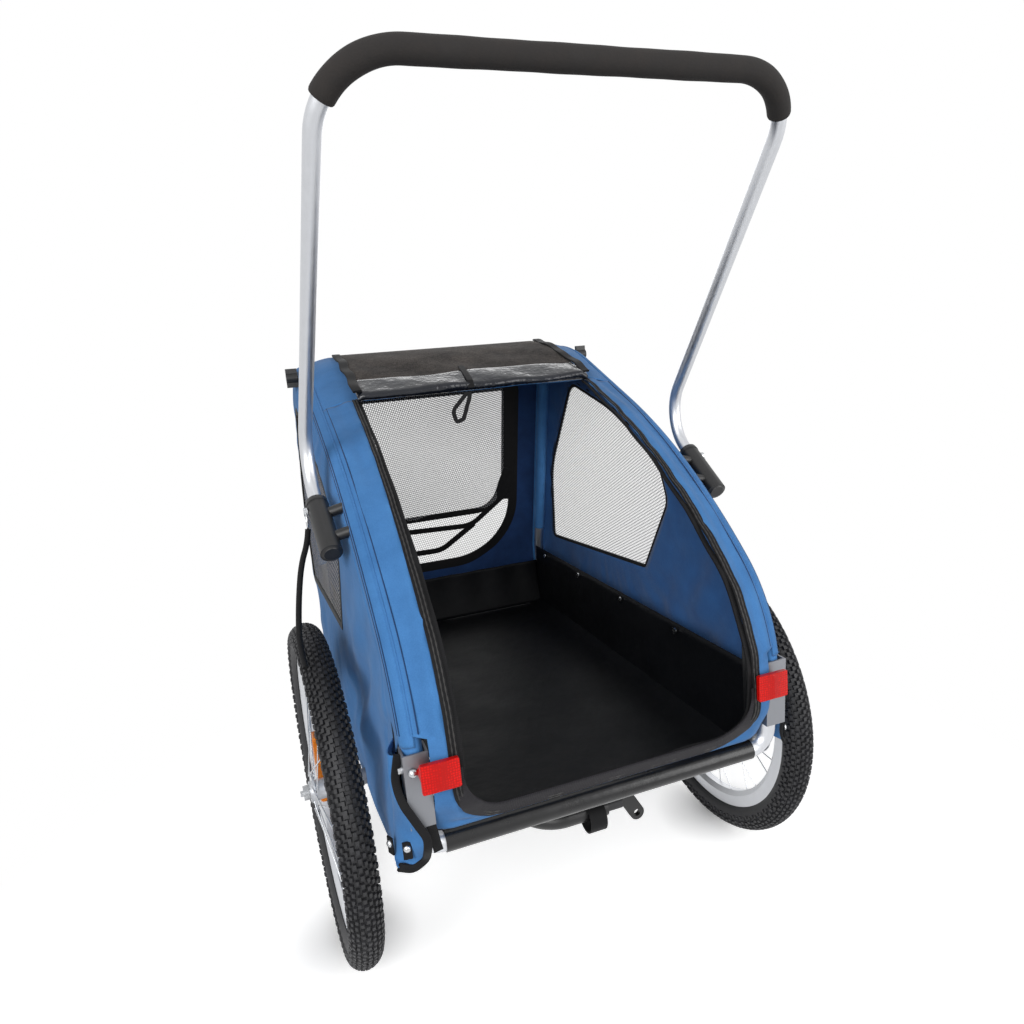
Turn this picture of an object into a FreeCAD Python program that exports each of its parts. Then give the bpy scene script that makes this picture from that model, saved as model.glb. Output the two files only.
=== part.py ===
"""Two-wheeled dog trailer with push handle, stowed drawbar and front swivel wheel.

Millimetres, +Z up, +Y is the way of travel and the loading opening faces -Y.
Places are written from the ground point under the axle; the finished pieces are
shifted along Y at the end, so that the origin is the middle of the footprint.
"""
import FreeCAD, Part
import math
import os
from FreeCAD import Vector

# Running gear
WHEEL_D = 500.0
TYRE_W = 47.0
TYRE_WALL = 4.0
TRACK = 680.0
RIM_D = 420.0
RIM_W = 24.0
RIM_DEPTH = 26.0
RIM_WALL = 2.0
HUB_D = 30.0
HUB_L = 62.0
FLANGE_D = 56.0
FLANGE_T = 3.0
FLANGE_GAP = 50.0
SPOKE_D = 1.8
SPOKE_PAIRS = 7
SPOKE_CROSS = 2
SPOKE_LIFT = 0.7
AXLE_D = 12.0
BUTTON_D = 9.0
BUTTON_TRAVEL = 4.0
BUTTON_SEAT = 5.0
AXLE_HEAD_D = 22.0
AXLE_HEAD_L = 9.0
RECEIVER_D = 24.0
AXLE_SLACK = 3.0  # degrees by which the left stub axle sits askew, wheel front outwards
SPOKE_LAMP_L = 112.0
SPOKE_LAMP_W = 30.0
SPOKE_LAMP_T = 14.0
SPOKE_LAMP_R = 68.0
SPOKE_LAMP_OUT = 6.3

# Base frame
BASE_TUBE_D = 25.0
TUBE_WALL = 1.5
BASE_Z = 285.0
REAR_Y = -262.0
CORNER_R = 30.0
ELBOW_R = 26.0
SLEEVE_STOP = 27.0
SLEEVE_T = 1.6
STUB_RISE = 91.0
STUB_GAP = 4.0

# Side hoops
HOOP_D = 22.0
WHEEL_ROOM = 60.5
TOE_OUT = 1.15
LEAN_OUT = 0.2
HOOP_INSET = 26.0
FRONT_FOOT_RISE = 17.0
FRONT_FOOT_BLOCK = 42.0
CROSSBAR_D = 20.0

# Fabric cover, outer side profile as (y, z)
SILL = (-268.0, 303.0)
HEEL = (-300.0, 355.0)
KNEE = (-306.0, 492.0)
SHOULDER = (-80.0, 712.0)
CREST = (338.0, 899.0)
BROW = (505.0, 899.0)
NOSE = (652.0, 405.0)
NOSE_FOOT = (652.0, 303.0)
HEEL_R = 60.0
KNEE_SHARE = 0.9
SHOULDER_R = 1100.0
CREST_R = 350.0
BROW_R = 66.0
NOSE_R = 86.0
CLOTH = 3.0
SEAM_GAP = 0.3
SKIRT_Z = 272.0
NOTCH_Y = -248.0
NOTCH_Z = 436.0

# Loading opening and windows
DOOR_MARGIN = 49.0
DOOR_TOP = 817.0
DOOR_SILL = 316.0
DOOR_R = 62.0
ZIP_W = 13.0
ZIP_T = 2.0
WINDOW_MARGIN = 56.0
WINDOW_TOP = 810.0
WINDOW_BOTTOM = 392.0
WINDOW_R = 150.0
MESH_T = 1.0
SIDE_WINDOW = ((396.0, 812.0), (550.0, 612.0), (566.0, 434.0), (100.0, 460.0), (6.0, 598.0),
               (32.0, 668.0), (206.0, 758.0))
SIDE_WINDOW_R = (48.0, 170.0, 14.0, 16.0, 34.0, 40.0, 500.0)
FLAP_T = 5.0
FLAP_ROLL_R = 9.0
FLAP_REAR_Y = 172.0
FLAP_FRONT_Y = 352.0
STRAP_W = 22.0
STRAP_T = 2.0
COVER_ROLL_D = 26.0
COVER_ROLL_TAIL = 4.0

# Tub
TUB_FLOOR_Z = 263.0
TUB_SIDE_Z = 405.0
TUB_FRONT_Z = 372.0
TUB_REAR_Z = 300.0
TUB_T = 3.0
BOARD_T = 3.0
SNAP_D = 10.0
SNAP_PITCH = 198.0
SNAP_FIRST_Y = -60.0
SNAP_COUNT = 4
SNAP_Z = 396.0

# Rear corner brackets and reflectors
CHANNEL_H = 96.0
CHANNEL_T = 2.5
CHANNEL_DEPTH = 26.0
BOLT_D = 6.0
BOLT_HEAD_D = 11.0
BOLT_HEAD_H = 5.0
REFLECTOR_W = 46.0
REFLECTOR_H = 36.0
REFLECTOR_T = 9.0
REFLECTOR_RIDGE = 2.2
REFLECTOR_IN = 27.0
REFLECTOR_Z = 400.0
REFLECTOR_STALK = 16.0

# Push handle
HANDLE_D = 19.0
GRIP_D = 27.0
GRIP_STOP = 24.0  # degrees of each upper bend that the foam leaves bare
HANDLE_BEND_R = 68.0
HANDLE_CORNER_R = 86.0
HANDLE_BEND_Y = 52.0
HANDLE_TOP_OUT = 13.0
HANDLE_TOP_Y = -331.0
HANDLE_TOP_Z = 1143.0
COUPLER_LOW_OUT = 42.0
COUPLER_LOW_Y = -103.0
COUPLER_LOW_Z = 629.0
COUPLER_HIGH_OUT = 47.0
COUPLER_HIGH_Y = -20.0
COUPLER_HIGH_Z = 686.0
COUPLER_D = 30.0
COUPLER_FLOOR = 10.0
LUG_D = 15.0
LUG_STATIONS = (0.27, 0.73)
PIN_D = 6.0
PIN_STATION = 0.84
PIN_HEAD_D = 12.0
PIN_HEAD_L = 5.0
RING_R = 11.0
RING_WIRE = 2.6
KNOB_D = 18.0
KNOB_L = 20.0
KNOB_SPAN = 34.0
KNOB_WING_T = 7.0
KNOB_STUD_D = 8.0
KNOB_STUD_BITE = 24.0
KNOB_STAND_OFF = 1.2

# Drawbar and hitch
DRAWBAR_D = 25.0
DRAWBAR_WALL = 2.0
DRAWBAR_SIDE_IN = 51.0
DRAWBAR_PIVOT_BACK = 36.0
DRAWBAR_DROP = 28.0
DRAWBAR_NOSE = 16.0
DRAWBAR_KNEE_Y = 180.0
DRAWBAR_HIP_X = -75.0
DRAWBAR_END_X = 22.0
DRAWBAR_END_Y = -203.0
DRAWBAR_KNEE_R = 120.0
DRAWBAR_HIP_R = 50.0
DRAWBAR_BOLT_D = 10.0
CHEEK_T = 4.0
HITCH_SHANK_D = 10.0
HITCH_SHANK_L = 26.0
HITCH_T = 8.0
HITCH_W = 22.0
HITCH_REACH = 13.0
HITCH_DROP = 23.0
HITCH_EYE_D = 10.5
BUFFER_D = 17.0
BUFFER_L = 24.0
CLIP_L = 24.0
CLIP_T = 3.0
CLIP_GAP = 0.8
LOOP_W = 25.0
LOOP_SLACK = 8.0

# Front swivel wheel
CASTER_D = 200.0
CASTER_W = 42.0
CASTER_REACH = 116.0
CASTER_TRAIL = 56.0
CASTER_RIM_D = 136.0
HEAD_D = 36.0
HEAD_L = 58.0
HEAD_Z = 262.0
ARM_D = 30.0
STEM_D = 14.0
CROWN_T = 9.0
FORK_T = 5.0
FORK_W = 26.0
FORK_GAP = 3.0
CASTER_AXLE_D = 8.0

# Wrist strap on the left pin, as (x, y, z) steps from the foot of the pin's ring
CORD_D = 8.0
CORD_RUN_SHARE = 0.45
CORD_STEPS = ((0.0, 0.0, -1.9), (-3.0, -3.7, -18.9), (-16.0, -11.7, -46.9), (-25.0, -21.7, -84.9),
              (-32.0, -37.7, -123.9), (-35.0, -57.7, -150.9), (-32.0, -82.7, -168.9))

# Fits
SLIP = 0.3
RUN = 0.05
WIRE_FIT = 0.2

MIRROR_X = Vector(1, 0, 0)
ORIGIN = Vector(0, 0, 0)
AXIS_X = Vector(1, 0, 0)
AXIS_Y = Vector(0, 1, 0)
AXIS_Z = Vector(0, 0, 1)
FAR = 2000.0

AXLE_Z = WHEEL_D / 2
FRONT_Y = NOSE[0] - HOOP_INSET
HUB_FACE = TRACK / 2 - HUB_L / 2
HOOP_X = TRACK / 2 - TYRE_W / 2 - WHEEL_ROOM
DOOR_HALF = HOOP_X - DOOR_MARGIN
WINDOW_HALF = HOOP_X - WINDOW_MARGIN
REFLECTOR_X = HOOP_X - REFLECTOR_IN
HANDLE_TOP = (HOOP_X + HANDLE_TOP_OUT, HANDLE_TOP_Y, HANDLE_TOP_Z)
COUPLER_LOW = (HOOP_X + COUPLER_LOW_OUT, COUPLER_LOW_Y, COUPLER_LOW_Z)
COUPLER_HIGH = (HOOP_X + COUPLER_HIGH_OUT, COUPLER_HIGH_Y, COUPLER_HIGH_Z)
DRAWBAR_PIVOT = (DRAWBAR_SIDE_IN - HOOP_X, FRONT_Y - DRAWBAR_PIVOT_BACK, AXLE_Z - DRAWBAR_DROP)
CASTER_Y = FRONT_Y + CASTER_REACH
REAR_REACH = -HANDLE_TOP[1] + GRIP_D / 2
FRONT_REACH = CASTER_Y - CASTER_TRAIL + CASTER_D / 2
FOOTPRINT_SHIFT = Vector(0, (REAR_REACH - FRONT_REACH) / 2, 0)


def save(name, *shapes):
    """Write one node, shifted so that the footprint's middle is the origin."""
    solids = [solid for shape in shapes for solid in shape.Solids]
    node = solids[0] if len(solids) == 1 else Part.makeCompound(solids)
    node.translated(FOOTPRINT_SHIFT).exportStep("parts/%s.step" % name)


def mirrored(shape):
    """The left-hand twin of a right-hand shape."""
    return shape.mirror(ORIGIN, MIRROR_X)


def both(shape):
    """A right-hand shape and its left-hand twin."""
    return [shape, mirrored(shape)]


def rod(start, end, diameter):
    """A round bar between two points."""
    way = Vector(end) - Vector(start)
    return Part.makeCylinder(diameter / 2, way.Length, Vector(start), way)


def box(low, high):
    """A block between its lowest and highest corner."""
    size = Vector(high) - Vector(low)
    return Part.makeBox(size.x, size.y, size.z, Vector(low))


def rounded_edges(points, radii):
    """Straight runs joined by tangent arcs, one radius for each inner point."""
    points = [Vector(point) for point in points]
    edges = []
    last = points[0]
    for before, corner, after, radius in zip(points, points[1:], points[2:], radii):
        back = (before - corner).normalize()
        ahead = (after - corner).normalize()
        half = back.getAngle(ahead) / 2
        reach = radius / math.tan(half)
        bisector = (back + ahead).normalize()
        middle = corner + bisector * (radius / math.sin(half) - radius)
        start = corner + back * reach
        end = corner + ahead * reach
        edges.append(Part.LineSegment(last, start).toShape())
        edges.append(Part.Arc(start, middle, end).toShape())
        last = end
    edges.append(Part.LineSegment(last, points[-1]).toShape())
    return edges


def bar_along(points, radii, diameter):
    """A solid round bar along a rounded path."""
    edges = rounded_edges(points, radii)
    way = Vector(points[1]) - Vector(points[0])
    ring = Part.Wire(Part.Circle(Vector(points[0]), way, diameter / 2).toShape())
    return Part.Wire(edges).makePipeShell([ring], True, False)


def tube_along(points, radii, diameter, wall=TUBE_WALL):
    """A hollow tube along a rounded path."""
    return bar_along(points, radii, diameter).cut(bar_along(points, radii, diameter - 2 * wall))


def lathe(profile, centre):
    """A ring turned from (along, radius) points about an axis along X through a centre."""
    wire = Part.makePolygon([Vector(along, 0, radius) for along, radius in profile + profile[:1]])
    return Part.Face(wire).revolve(ORIGIN, AXIS_X, 360).translated(Vector(centre))


def shifted_outline(points, inset):
    """An open (y, z) outline moved to its right-hand side by an inset."""
    lines = []
    for (y0, z0), (y1, z1) in zip(points, points[1:]):
        length = math.hypot(y1 - y0, z1 - z0)
        normal = ((z1 - z0) / length, -(y1 - y0) / length)
        lines.append(((y0 + normal[0] * inset, z0 + normal[1] * inset), (y1 - y0, z1 - z0)))
    moved = [lines[0][0]]
    for (p, d), (q, e) in zip(lines, lines[1:]):
        t = ((q[0] - p[0]) * e[1] - (q[1] - p[1]) * e[0]) / (d[0] * e[1] - d[1] * e[0])
        moved.append((p[0] + d[0] * t, p[1] + d[1] * t))
    start, way = lines[-1]
    moved.append((start[0] + way[0], start[1] + way[1]))
    return moved


def half_turn(before, corner, after):
    """Tangent of half the turn that an outline makes at a corner."""
    back = Vector(before[0] - corner[0], before[1] - corner[1], 0)
    ahead = Vector(after[0] - corner[0], after[1] - corner[1], 0)
    return 1 / math.tan(back.getAngle(ahead) / 2)


def knee_radius():
    """The knee's arc takes a share of the shorter straight run that its neighbours' arcs leave."""
    below = math.dist(HEEL, KNEE) - HEEL_R * half_turn(SILL, HEEL, KNEE)
    above = math.dist(KNEE, SHOULDER) - SHOULDER_R * half_turn(KNEE, SHOULDER, CREST)
    return KNEE_SHARE * min(below, above) / half_turn(HEEL, KNEE, SHOULDER)


COVER_LINE = [SILL, HEEL, KNEE, SHOULDER, CREST, BROW, NOSE, NOSE_FOOT]
COVER_RADII = [HEEL_R, knee_radius(), SHOULDER_R, CREST_R, BROW_R, NOSE_R]


def cover_edges(inset):
    """The cover's side profile, inset from its outer face, as edges in the YZ plane."""
    line = shifted_outline(COVER_LINE, inset)
    return rounded_edges([(0, y, z) for y, z in line], [radius - inset for radius in COVER_RADII])


def cover_shell(outer_inset, inner_inset):
    """The wrap of the cover between two insets, as wide as the machine."""
    outer = cover_edges(outer_inset)
    inner = cover_edges(inner_inset)
    ends = [Part.LineSegment(outer[0].Vertexes[0].Point, inner[0].Vertexes[0].Point).toShape(),
            Part.LineSegment(outer[-1].Vertexes[-1].Point, inner[-1].Vertexes[-1].Point).toShape()]
    ring = Part.Wire(Part.__sortEdges__(outer + ends + inner))
    return Part.Face(ring).extrude(Vector(TRACK, 0, 0)).translated(Vector(-TRACK / 2, 0, 0))


# Each side hoop and side panel lies in a plane that leans and toes out a little.
SIDE_NORMAL = Vector(1, -math.tan(math.radians(TOE_OUT)), -math.tan(math.radians(LEAN_OUT))).normalize()


def side_x(y, z):
    """Half spacing of the hoop planes at a height and a place along the machine."""
    return HOOP_X + y * math.tan(math.radians(TOE_OUT)) + z * math.tan(math.radians(LEAN_OUT))


def on_side(y, z, out=0.0):
    """A point of the right-hand hoop plane, moved outwards by a distance."""
    return Vector(side_x(y, z), y, z) + SIDE_NORMAL * out


def side_plate(edges, low, high):
    """A plate cut to an outline in the YZ plane, between two distances from the hoop plane."""
    face = Part.Face(Part.Wire(Part.__sortEdges__(edges)))
    prism = face.extrude(Vector(FAR, 0, 0))
    return prism.common(side_slab(low, high))


def side_slab(low, high):
    """The space between two distances from the right-hand hoop plane."""
    slab = Part.makeBox(FAR, FAR, high - low, Vector(-FAR / 2, -FAR / 2, 0))
    slab.Placement = FreeCAD.Placement(on_side(0, 0, low), FreeCAD.Rotation(AXIS_Z, SIDE_NORMAL))
    return slab


PANEL_IN = HOOP_D / 2 + SLIP
PANEL_OUT = PANEL_IN + CLOTH


def trim_to_sides(shape):
    """Cut a full-width shape off at the outer faces of the side panels."""
    outside = side_slab(PANEL_OUT, PANEL_OUT + TRACK)
    return shape.cut(outside).cut(mirrored(outside))


def upright_window(half, low, high, radius_low, radius_high, y_from, y_to):
    """A rounded opening seen from behind, as a prism along Y."""
    corners = [(0, low), (half, low), (half, high), (-half, high), (-half, low), (0, low)]
    radii = [radius_low, radius_high, radius_high, radius_low]
    edges = rounded_edges([(x, y_from, z) for x, z in corners], radii)
    return Part.Face(Part.Wire(edges)).extrude(Vector(0, y_to - y_from, 0))


def build_cover():
    """Blue panels, windows, zip, door flap and the rolled-down front cover."""
    wrap = trim_to_sides(cover_shell(0.0, CLOTH))
    door = upright_window(DOOR_HALF, DOOR_SILL, DOOR_TOP, DOOR_R, ZIP_W, -FAR / 4, FLAP_FRONT_Y)
    window = upright_window(WINDOW_HALF, WINDOW_BOTTOM, WINDOW_TOP, WINDOW_R, ZIP_W,
                            FLAP_FRONT_Y, FAR / 2)
    split_y = FLAP_FRONT_Y + FLAP_ROLL_R
    rear_half = box((-FAR / 2, -FAR / 2, 0), (FAR / 2, split_y - SEAM_GAP / 2, FAR))
    front_half = box((-FAR / 2, split_y + SEAM_GAP / 2, 0), (FAR / 2, FAR / 2, FAR))
    corner_x = side_x(HEEL[0], HEEL[1]) - CHANNEL_DEPTH / 2 - CHANNEL_T - SLIP
    corner = box((corner_x, -FAR / 2, 0), (FAR / 2, NOTCH_Y, NOTCH_Z))
    rear = wrap.common(rear_half).cut(door).cut(corner).cut(mirrored(corner))
    front = wrap.common(front_half).cut(window)
    save("rear_surround", rear)
    save("front_panel", front)

    mesh_inset = (CLOTH - MESH_T) / 2
    frame_gap = upright_window(WINDOW_HALF - SEAM_GAP, WINDOW_BOTTOM + SEAM_GAP, WINDOW_TOP - SEAM_GAP,
                               WINDOW_R - SEAM_GAP, ZIP_W - SEAM_GAP, split_y, FAR / 2)
    save("front_mesh", cover_shell(mesh_inset, mesh_inset + MESH_T).common(frame_gap))

    zip_ring = upright_window(DOOR_HALF + ZIP_W, DOOR_SILL - ZIP_W, DOOR_TOP + ZIP_W, DOOR_R + ZIP_W,
                              2 * ZIP_W, -FAR / 4, FLAP_FRONT_Y)
    zip_band = cover_shell(-ZIP_T - SEAM_GAP, -SEAM_GAP).common(zip_ring.cut(door)).cut(corner)
    zip_band = zip_band.cut(mirrored(corner)).common(rear_half)
    save("door_zip", zip_band)
    build_flap()
    build_sides()
    build_front_cover()


def build_flap():
    """The door of mesh and clear film, folded back on the roof, with its two ties."""
    lift = ZIP_T + 2 * SEAM_GAP
    slab = cover_shell(-lift - FLAP_T, -lift)
    slab = slab.common(box((-DOOR_HALF, FLAP_REAR_Y, 0), (DOOR_HALF, FLAP_FRONT_Y, FAR)))
    slope = math.atan2(CREST[1] - SHOULDER[1], CREST[0] - SHOULDER[0])
    roof_z = SHOULDER[1] + (FLAP_REAR_Y - SHOULDER[0]) * math.tan(slope)
    rise = (lift + FLAP_ROLL_R) / math.cos(slope)
    roll_z = roof_z + rise
    roll = rod((-DOOR_HALF, FLAP_REAR_Y, roll_z), (DOOR_HALF, FLAP_REAR_Y, roll_z), 2 * FLAP_ROLL_R)
    save("door_flap", slab.fuse(roll).removeSplitter())

    straps = []
    over = cover_shell(-lift - FLAP_T - SEAM_GAP - STRAP_T, -lift - FLAP_T - SEAM_GAP)
    for x in (0.0, DOOR_HALF - STRAP_W):
        low = (x - STRAP_W / 2, FLAP_REAR_Y + STRAP_W, 0)
        high = (x + STRAP_W / 2, FLAP_FRONT_Y - SEAM_GAP, FAR)
        straps.append(over.common(box(low, high)))
    save("flap_ties", *straps)


def build_sides():
    """Side panels with their mesh windows, and the press studs of the corner flaps."""
    inner = cover_edges(CLOTH + SEAM_GAP)
    first = inner[0].Vertexes[0].Point
    last = inner[-1].Vertexes[-1].Point
    skirt = Part.makePolygon([last, Vector(0, last.y, SKIRT_Z), Vector(0, first.y, SKIRT_Z), first]).Edges
    panel = side_plate(inner + skirt, PANEL_IN, PANEL_OUT)
    notch = box((0, -FAR / 2, 0), (FAR / 2, NOTCH_Y, NOTCH_Z))
    loop = list(SIDE_WINDOW)
    centre = ((loop[-1][0] + loop[0][0]) / 2, (loop[-1][1] + loop[0][1]) / 2)
    ring = [(0, y, z) for y, z in [centre] + loop + [centre]]
    hole = rounded_edges(ring, SIDE_WINDOW_R)
    panel = panel.cut(notch).cut(side_plate(hole, PANEL_IN, PANEL_OUT))
    for station in LUG_STATIONS:
        panel = panel.cut(coupler_lug(station, LUG_D + 2 * SLIP))
    stud_hole = rod(knob_point(), knob_point() + AXIS_X * FAR, KNOB_STUD_D + 2 * SLIP)
    panel = panel.cut(stud_hole)
    save("right_side_panel", panel)
    save("left_side_panel", mirrored(panel))

    middle = (PANEL_IN + PANEL_OUT) / 2
    mesh = largest(side_plate(hole, middle - MESH_T / 2, middle + MESH_T / 2))
    shrink = 1 - 2 * SEAM_GAP / (SIDE_WINDOW[1][0] - SIDE_WINDOW[3][0])
    heart = mesh.CenterOfMass
    mesh = mesh.translated(heart * -1).scaled(shrink).translated(heart)
    save("side_meshes", *both(mesh))

    studs = []
    for step in range(2):
        y = NOTCH_Y + SNAP_D * (1.2 + 1.6 * step)
        z = SKIRT_Z + SNAP_D * (1.6 - 0.4 * step)
        studs += both(rod(on_side(y, z, PANEL_OUT), on_side(y, z, PANEL_OUT + SNAP_D / 3), SNAP_D))
    save("skirt_studs", *studs)


def build_front_cover():
    """The rain cover of the front window, rolled down below it."""
    y = NOSE[0] + COVER_ROLL_D / 2 + SEAM_GAP
    z = (NOSE[1] + NOSE_FOOT[1]) / 2
    half = WINDOW_HALF + COVER_ROLL_TAIL
    save("front_cover_roll", rod((-half, y, z), (half, y, z), COVER_ROLL_D))


def build_tub():
    """The black tub with its floor board and press studs."""
    rear = REAR_Y + BASE_TUBE_D / 2 + SLEEVE_T + SLIP
    front = FRONT_Y - BASE_TUBE_D / 2 - SLIP
    gap = BASE_TUBE_D / 2 + SLIP

    def tray(inset, low, high):
        """A tapering block inside the rails."""
        corners = []
        for y in (rear + inset, front - inset):
            x = rail_x(y) - gap - inset
            corners.append((Vector(-x, y, low), Vector(x, y, low)))
        (a, b), (d, c) = corners
        block = Part.Face(Part.makePolygon([a, b, c, d, a])).extrude(Vector(0, 0, high - low))
        upright = [edge for edge in block.Edges if abs(edge.tangentAt(edge.FirstParameter).z) > 0.5]
        return block.makeFillet(CORNER_R - gap - inset, upright)

    tub = tray(0.0, TUB_FLOOR_Z, TUB_SIDE_Z).cut(tray(TUB_T, TUB_FLOOR_Z + TUB_T, FAR))
    clear = rail_x(rear) - gap - TUB_T
    tub = tub.cut(box((-clear, rear - TUB_T, TUB_REAR_Z), (clear, rear + 2 * TUB_T, FAR)))
    tub = tub.cut(box((-clear, front - 2 * TUB_T, TUB_FRONT_Z), (clear, front + TUB_T, FAR)))
    save("cabin_tub", tub)
    floor = TUB_FLOOR_Z + TUB_T
    save("floor_board", tray(TUB_T + SLIP, floor, floor + BOARD_T))
    studs = []
    for step in range(SNAP_COUNT):
        y = SNAP_FIRST_Y + SNAP_PITCH * step
        inside = rail_x(y) - gap - TUB_T
        studs += both(rod((inside - WIRE_FIT, y, SNAP_Z), (inside - SNAP_D / 3, y, SNAP_Z), SNAP_D))
    save("tub_studs", *studs)


def rail_x(y):
    """Half spacing of the base rails, flush with the hoops on the outside."""
    return side_x(y, BASE_Z) - (BASE_TUBE_D - HOOP_D) / 2


def rake():
    """Unit direction of the upturned rear tube ends and hoop feet, in the YZ plane."""
    return Vector(0, KNEE[0] - HEEL[0], KNEE[1] - HEEL[1]).normalize()


HOOP_LINE = shifted_outline(COVER_LINE, HOOP_INSET)
HOOP_RADII = [radius - HOOP_INSET for radius in COVER_RADII[1:]]


def rear_foot(z):
    """A point on the axis of the right-hand rear foot at a height."""
    knee_y, knee_z = HOOP_LINE[2]
    y = knee_y + (z - knee_z) * rake().y / rake().z
    return Vector(side_x(y, z), y, z)


def hoop_points():
    """Corner points of the right-hand hoop's centre line."""
    bends = [on_side(y, z) for y, z in HOOP_LINE[2:7]]
    nose_y = HOOP_LINE[6][0]
    return [rear_foot(BASE_Z + STUB_RISE + STUB_GAP)] + bends + [on_side(nose_y, BASE_Z + FRONT_FOOT_RISE)]


def knob_point():
    """Where the crossbar meets the hoop: the middle of its bend at the crest."""
    before, corner, after = hoop_points()[2:5]
    back = (before - corner).normalize()
    ahead = (after - corner).normalize()
    half = back.getAngle(ahead) / 2
    radius = HOOP_RADII[2]
    return corner + (back + ahead).normalize() * (radius / math.sin(half) - radius)


def coupler_axis(station):
    """A point of the right-hand coupler's axis, from 0 at its foot to 1 at its mouth."""
    low = Vector(COUPLER_LOW)
    return low + (Vector(COUPLER_HIGH) - low) * station


def coupler_way():
    """Unit direction of the coupler's axis, towards its mouth."""
    return (Vector(COUPLER_HIGH) - Vector(COUPLER_LOW)).normalize()


def coupler_lug(station, diameter, beyond=0.0):
    """A round lug from the coupler's axis to the hoop's axis."""
    start = coupler_axis(station)
    centre_line = Part.Wire(rounded_edges(hoop_points(), HOOP_RADII))
    end = centre_line.distToShape(Part.Vertex(start))[1][0][0]
    return rod(start, end + (end - start).normalize() * beyond, diameter)


def askew(shape):
    """A left-hand wheel piece, turned about the upright line through the middle of its receiver."""
    pivot = Vector(-(rail_x(0) - BASE_TUBE_D / 2 + HUB_FACE) / 2, 0, AXLE_Z)
    return shape.rotated(pivot, AXIS_Z, AXLE_SLACK)


def build_base():
    """Base tubes, rear sleeve, axle tube with receivers, hoops, crossbar and brackets."""
    foot = rear_foot(BASE_Z + STUB_RISE)
    elbow_x = side_x(REAR_Y, BASE_Z)
    rear_points = [Vector(-foot.x, foot.y, foot.z), Vector(-elbow_x, REAR_Y, BASE_Z),
                   Vector(elbow_x, REAR_Y, BASE_Z), foot]
    rear_bar = bar_along(rear_points, [ELBOW_R, ELBOW_R], BASE_TUBE_D)
    rear_core = bar_along(rear_points, [ELBOW_R, ELBOW_R], BASE_TUBE_D - 2 * TUBE_WALL)
    low = (SLEEVE_STOP - elbow_x, REAR_Y, BASE_Z)
    high = (elbow_x - SLEEVE_STOP, REAR_Y, BASE_Z)
    save("rear_sleeve", rod(low, high, BASE_TUBE_D + 2 * SLEEVE_T).cut(rod(low, high, BASE_TUBE_D)))

    rail_points = [(-rail_x(REAR_Y), REAR_Y, BASE_Z), (-rail_x(FRONT_Y), FRONT_Y, BASE_Z),
                   (rail_x(FRONT_Y), FRONT_Y, BASE_Z), (rail_x(REAR_Y), REAR_Y, BASE_Z)]
    rail_bar = bar_along(rail_points, [CORNER_R, CORNER_R], BASE_TUBE_D)
    rail = tube_along(rail_points, [CORNER_R, CORNER_R], BASE_TUBE_D).cut(rear_bar)
    save("base_rail", largest(rail))

    inner_end = rail_x(0) - BASE_TUBE_D / 2
    axle_tube = rod((-inner_end, 0, AXLE_Z), (inner_end, 0, AXLE_Z), BASE_TUBE_D)
    core = rod((-FAR, 0, AXLE_Z), (FAR, 0, AXLE_Z), BASE_TUBE_D - 2 * TUBE_WALL)
    save("axle_tube", axle_tube.cut(core))
    receiver = rod((inner_end, 0, AXLE_Z), (HUB_FACE - SLIP, 0, AXLE_Z), RECEIVER_D)
    saddle = box((inner_end, -RECEIVER_D / 2, AXLE_Z),
                 (inner_end + BASE_TUBE_D - 2 * SLIP, RECEIVER_D / 2, BASE_Z))
    bore = rod((0, 0, AXLE_Z), (FAR, 0, AXLE_Z), AXLE_D)
    left_receiver = askew(mirrored(receiver)).cut(axle_tube)
    save("axle_receivers", largest(receiver.fuse(saddle).cut(rail_bar).cut(bore)),
         largest(left_receiver.fuse(mirrored(saddle)).cut(rail_bar).cut(askew(mirrored(bore)))))

    front_foot = hoop_points()[-1]
    half = FRONT_FOOT_BLOCK / 2
    low = Vector(front_foot.x - half, FRONT_Y - BASE_TUBE_D / 4, BASE_Z)
    lean = HOOP_D / 2 * math.tan(math.radians(LEAN_OUT)) + RUN
    block = box(low, front_foot + Vector(half, half, -lean))
    clear = side_slab(PANEL_IN - SLIP, FAR)
    hoop_bar = bar_along(hoop_points(), HOOP_RADII, HOOP_D)
    save("front_feet", *both(largest(block.cut(rail_bar).cut(clear))))
    build_upper(rear_bar.cut(rear_core), foot, hoop_bar)
    build_drawbar(rail_bar)
    build_caster(rail_bar)


def largest(shape):
    """The biggest solid of a shape."""
    return max(shape.Solids, key=lambda solid: solid.Volume)


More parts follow.
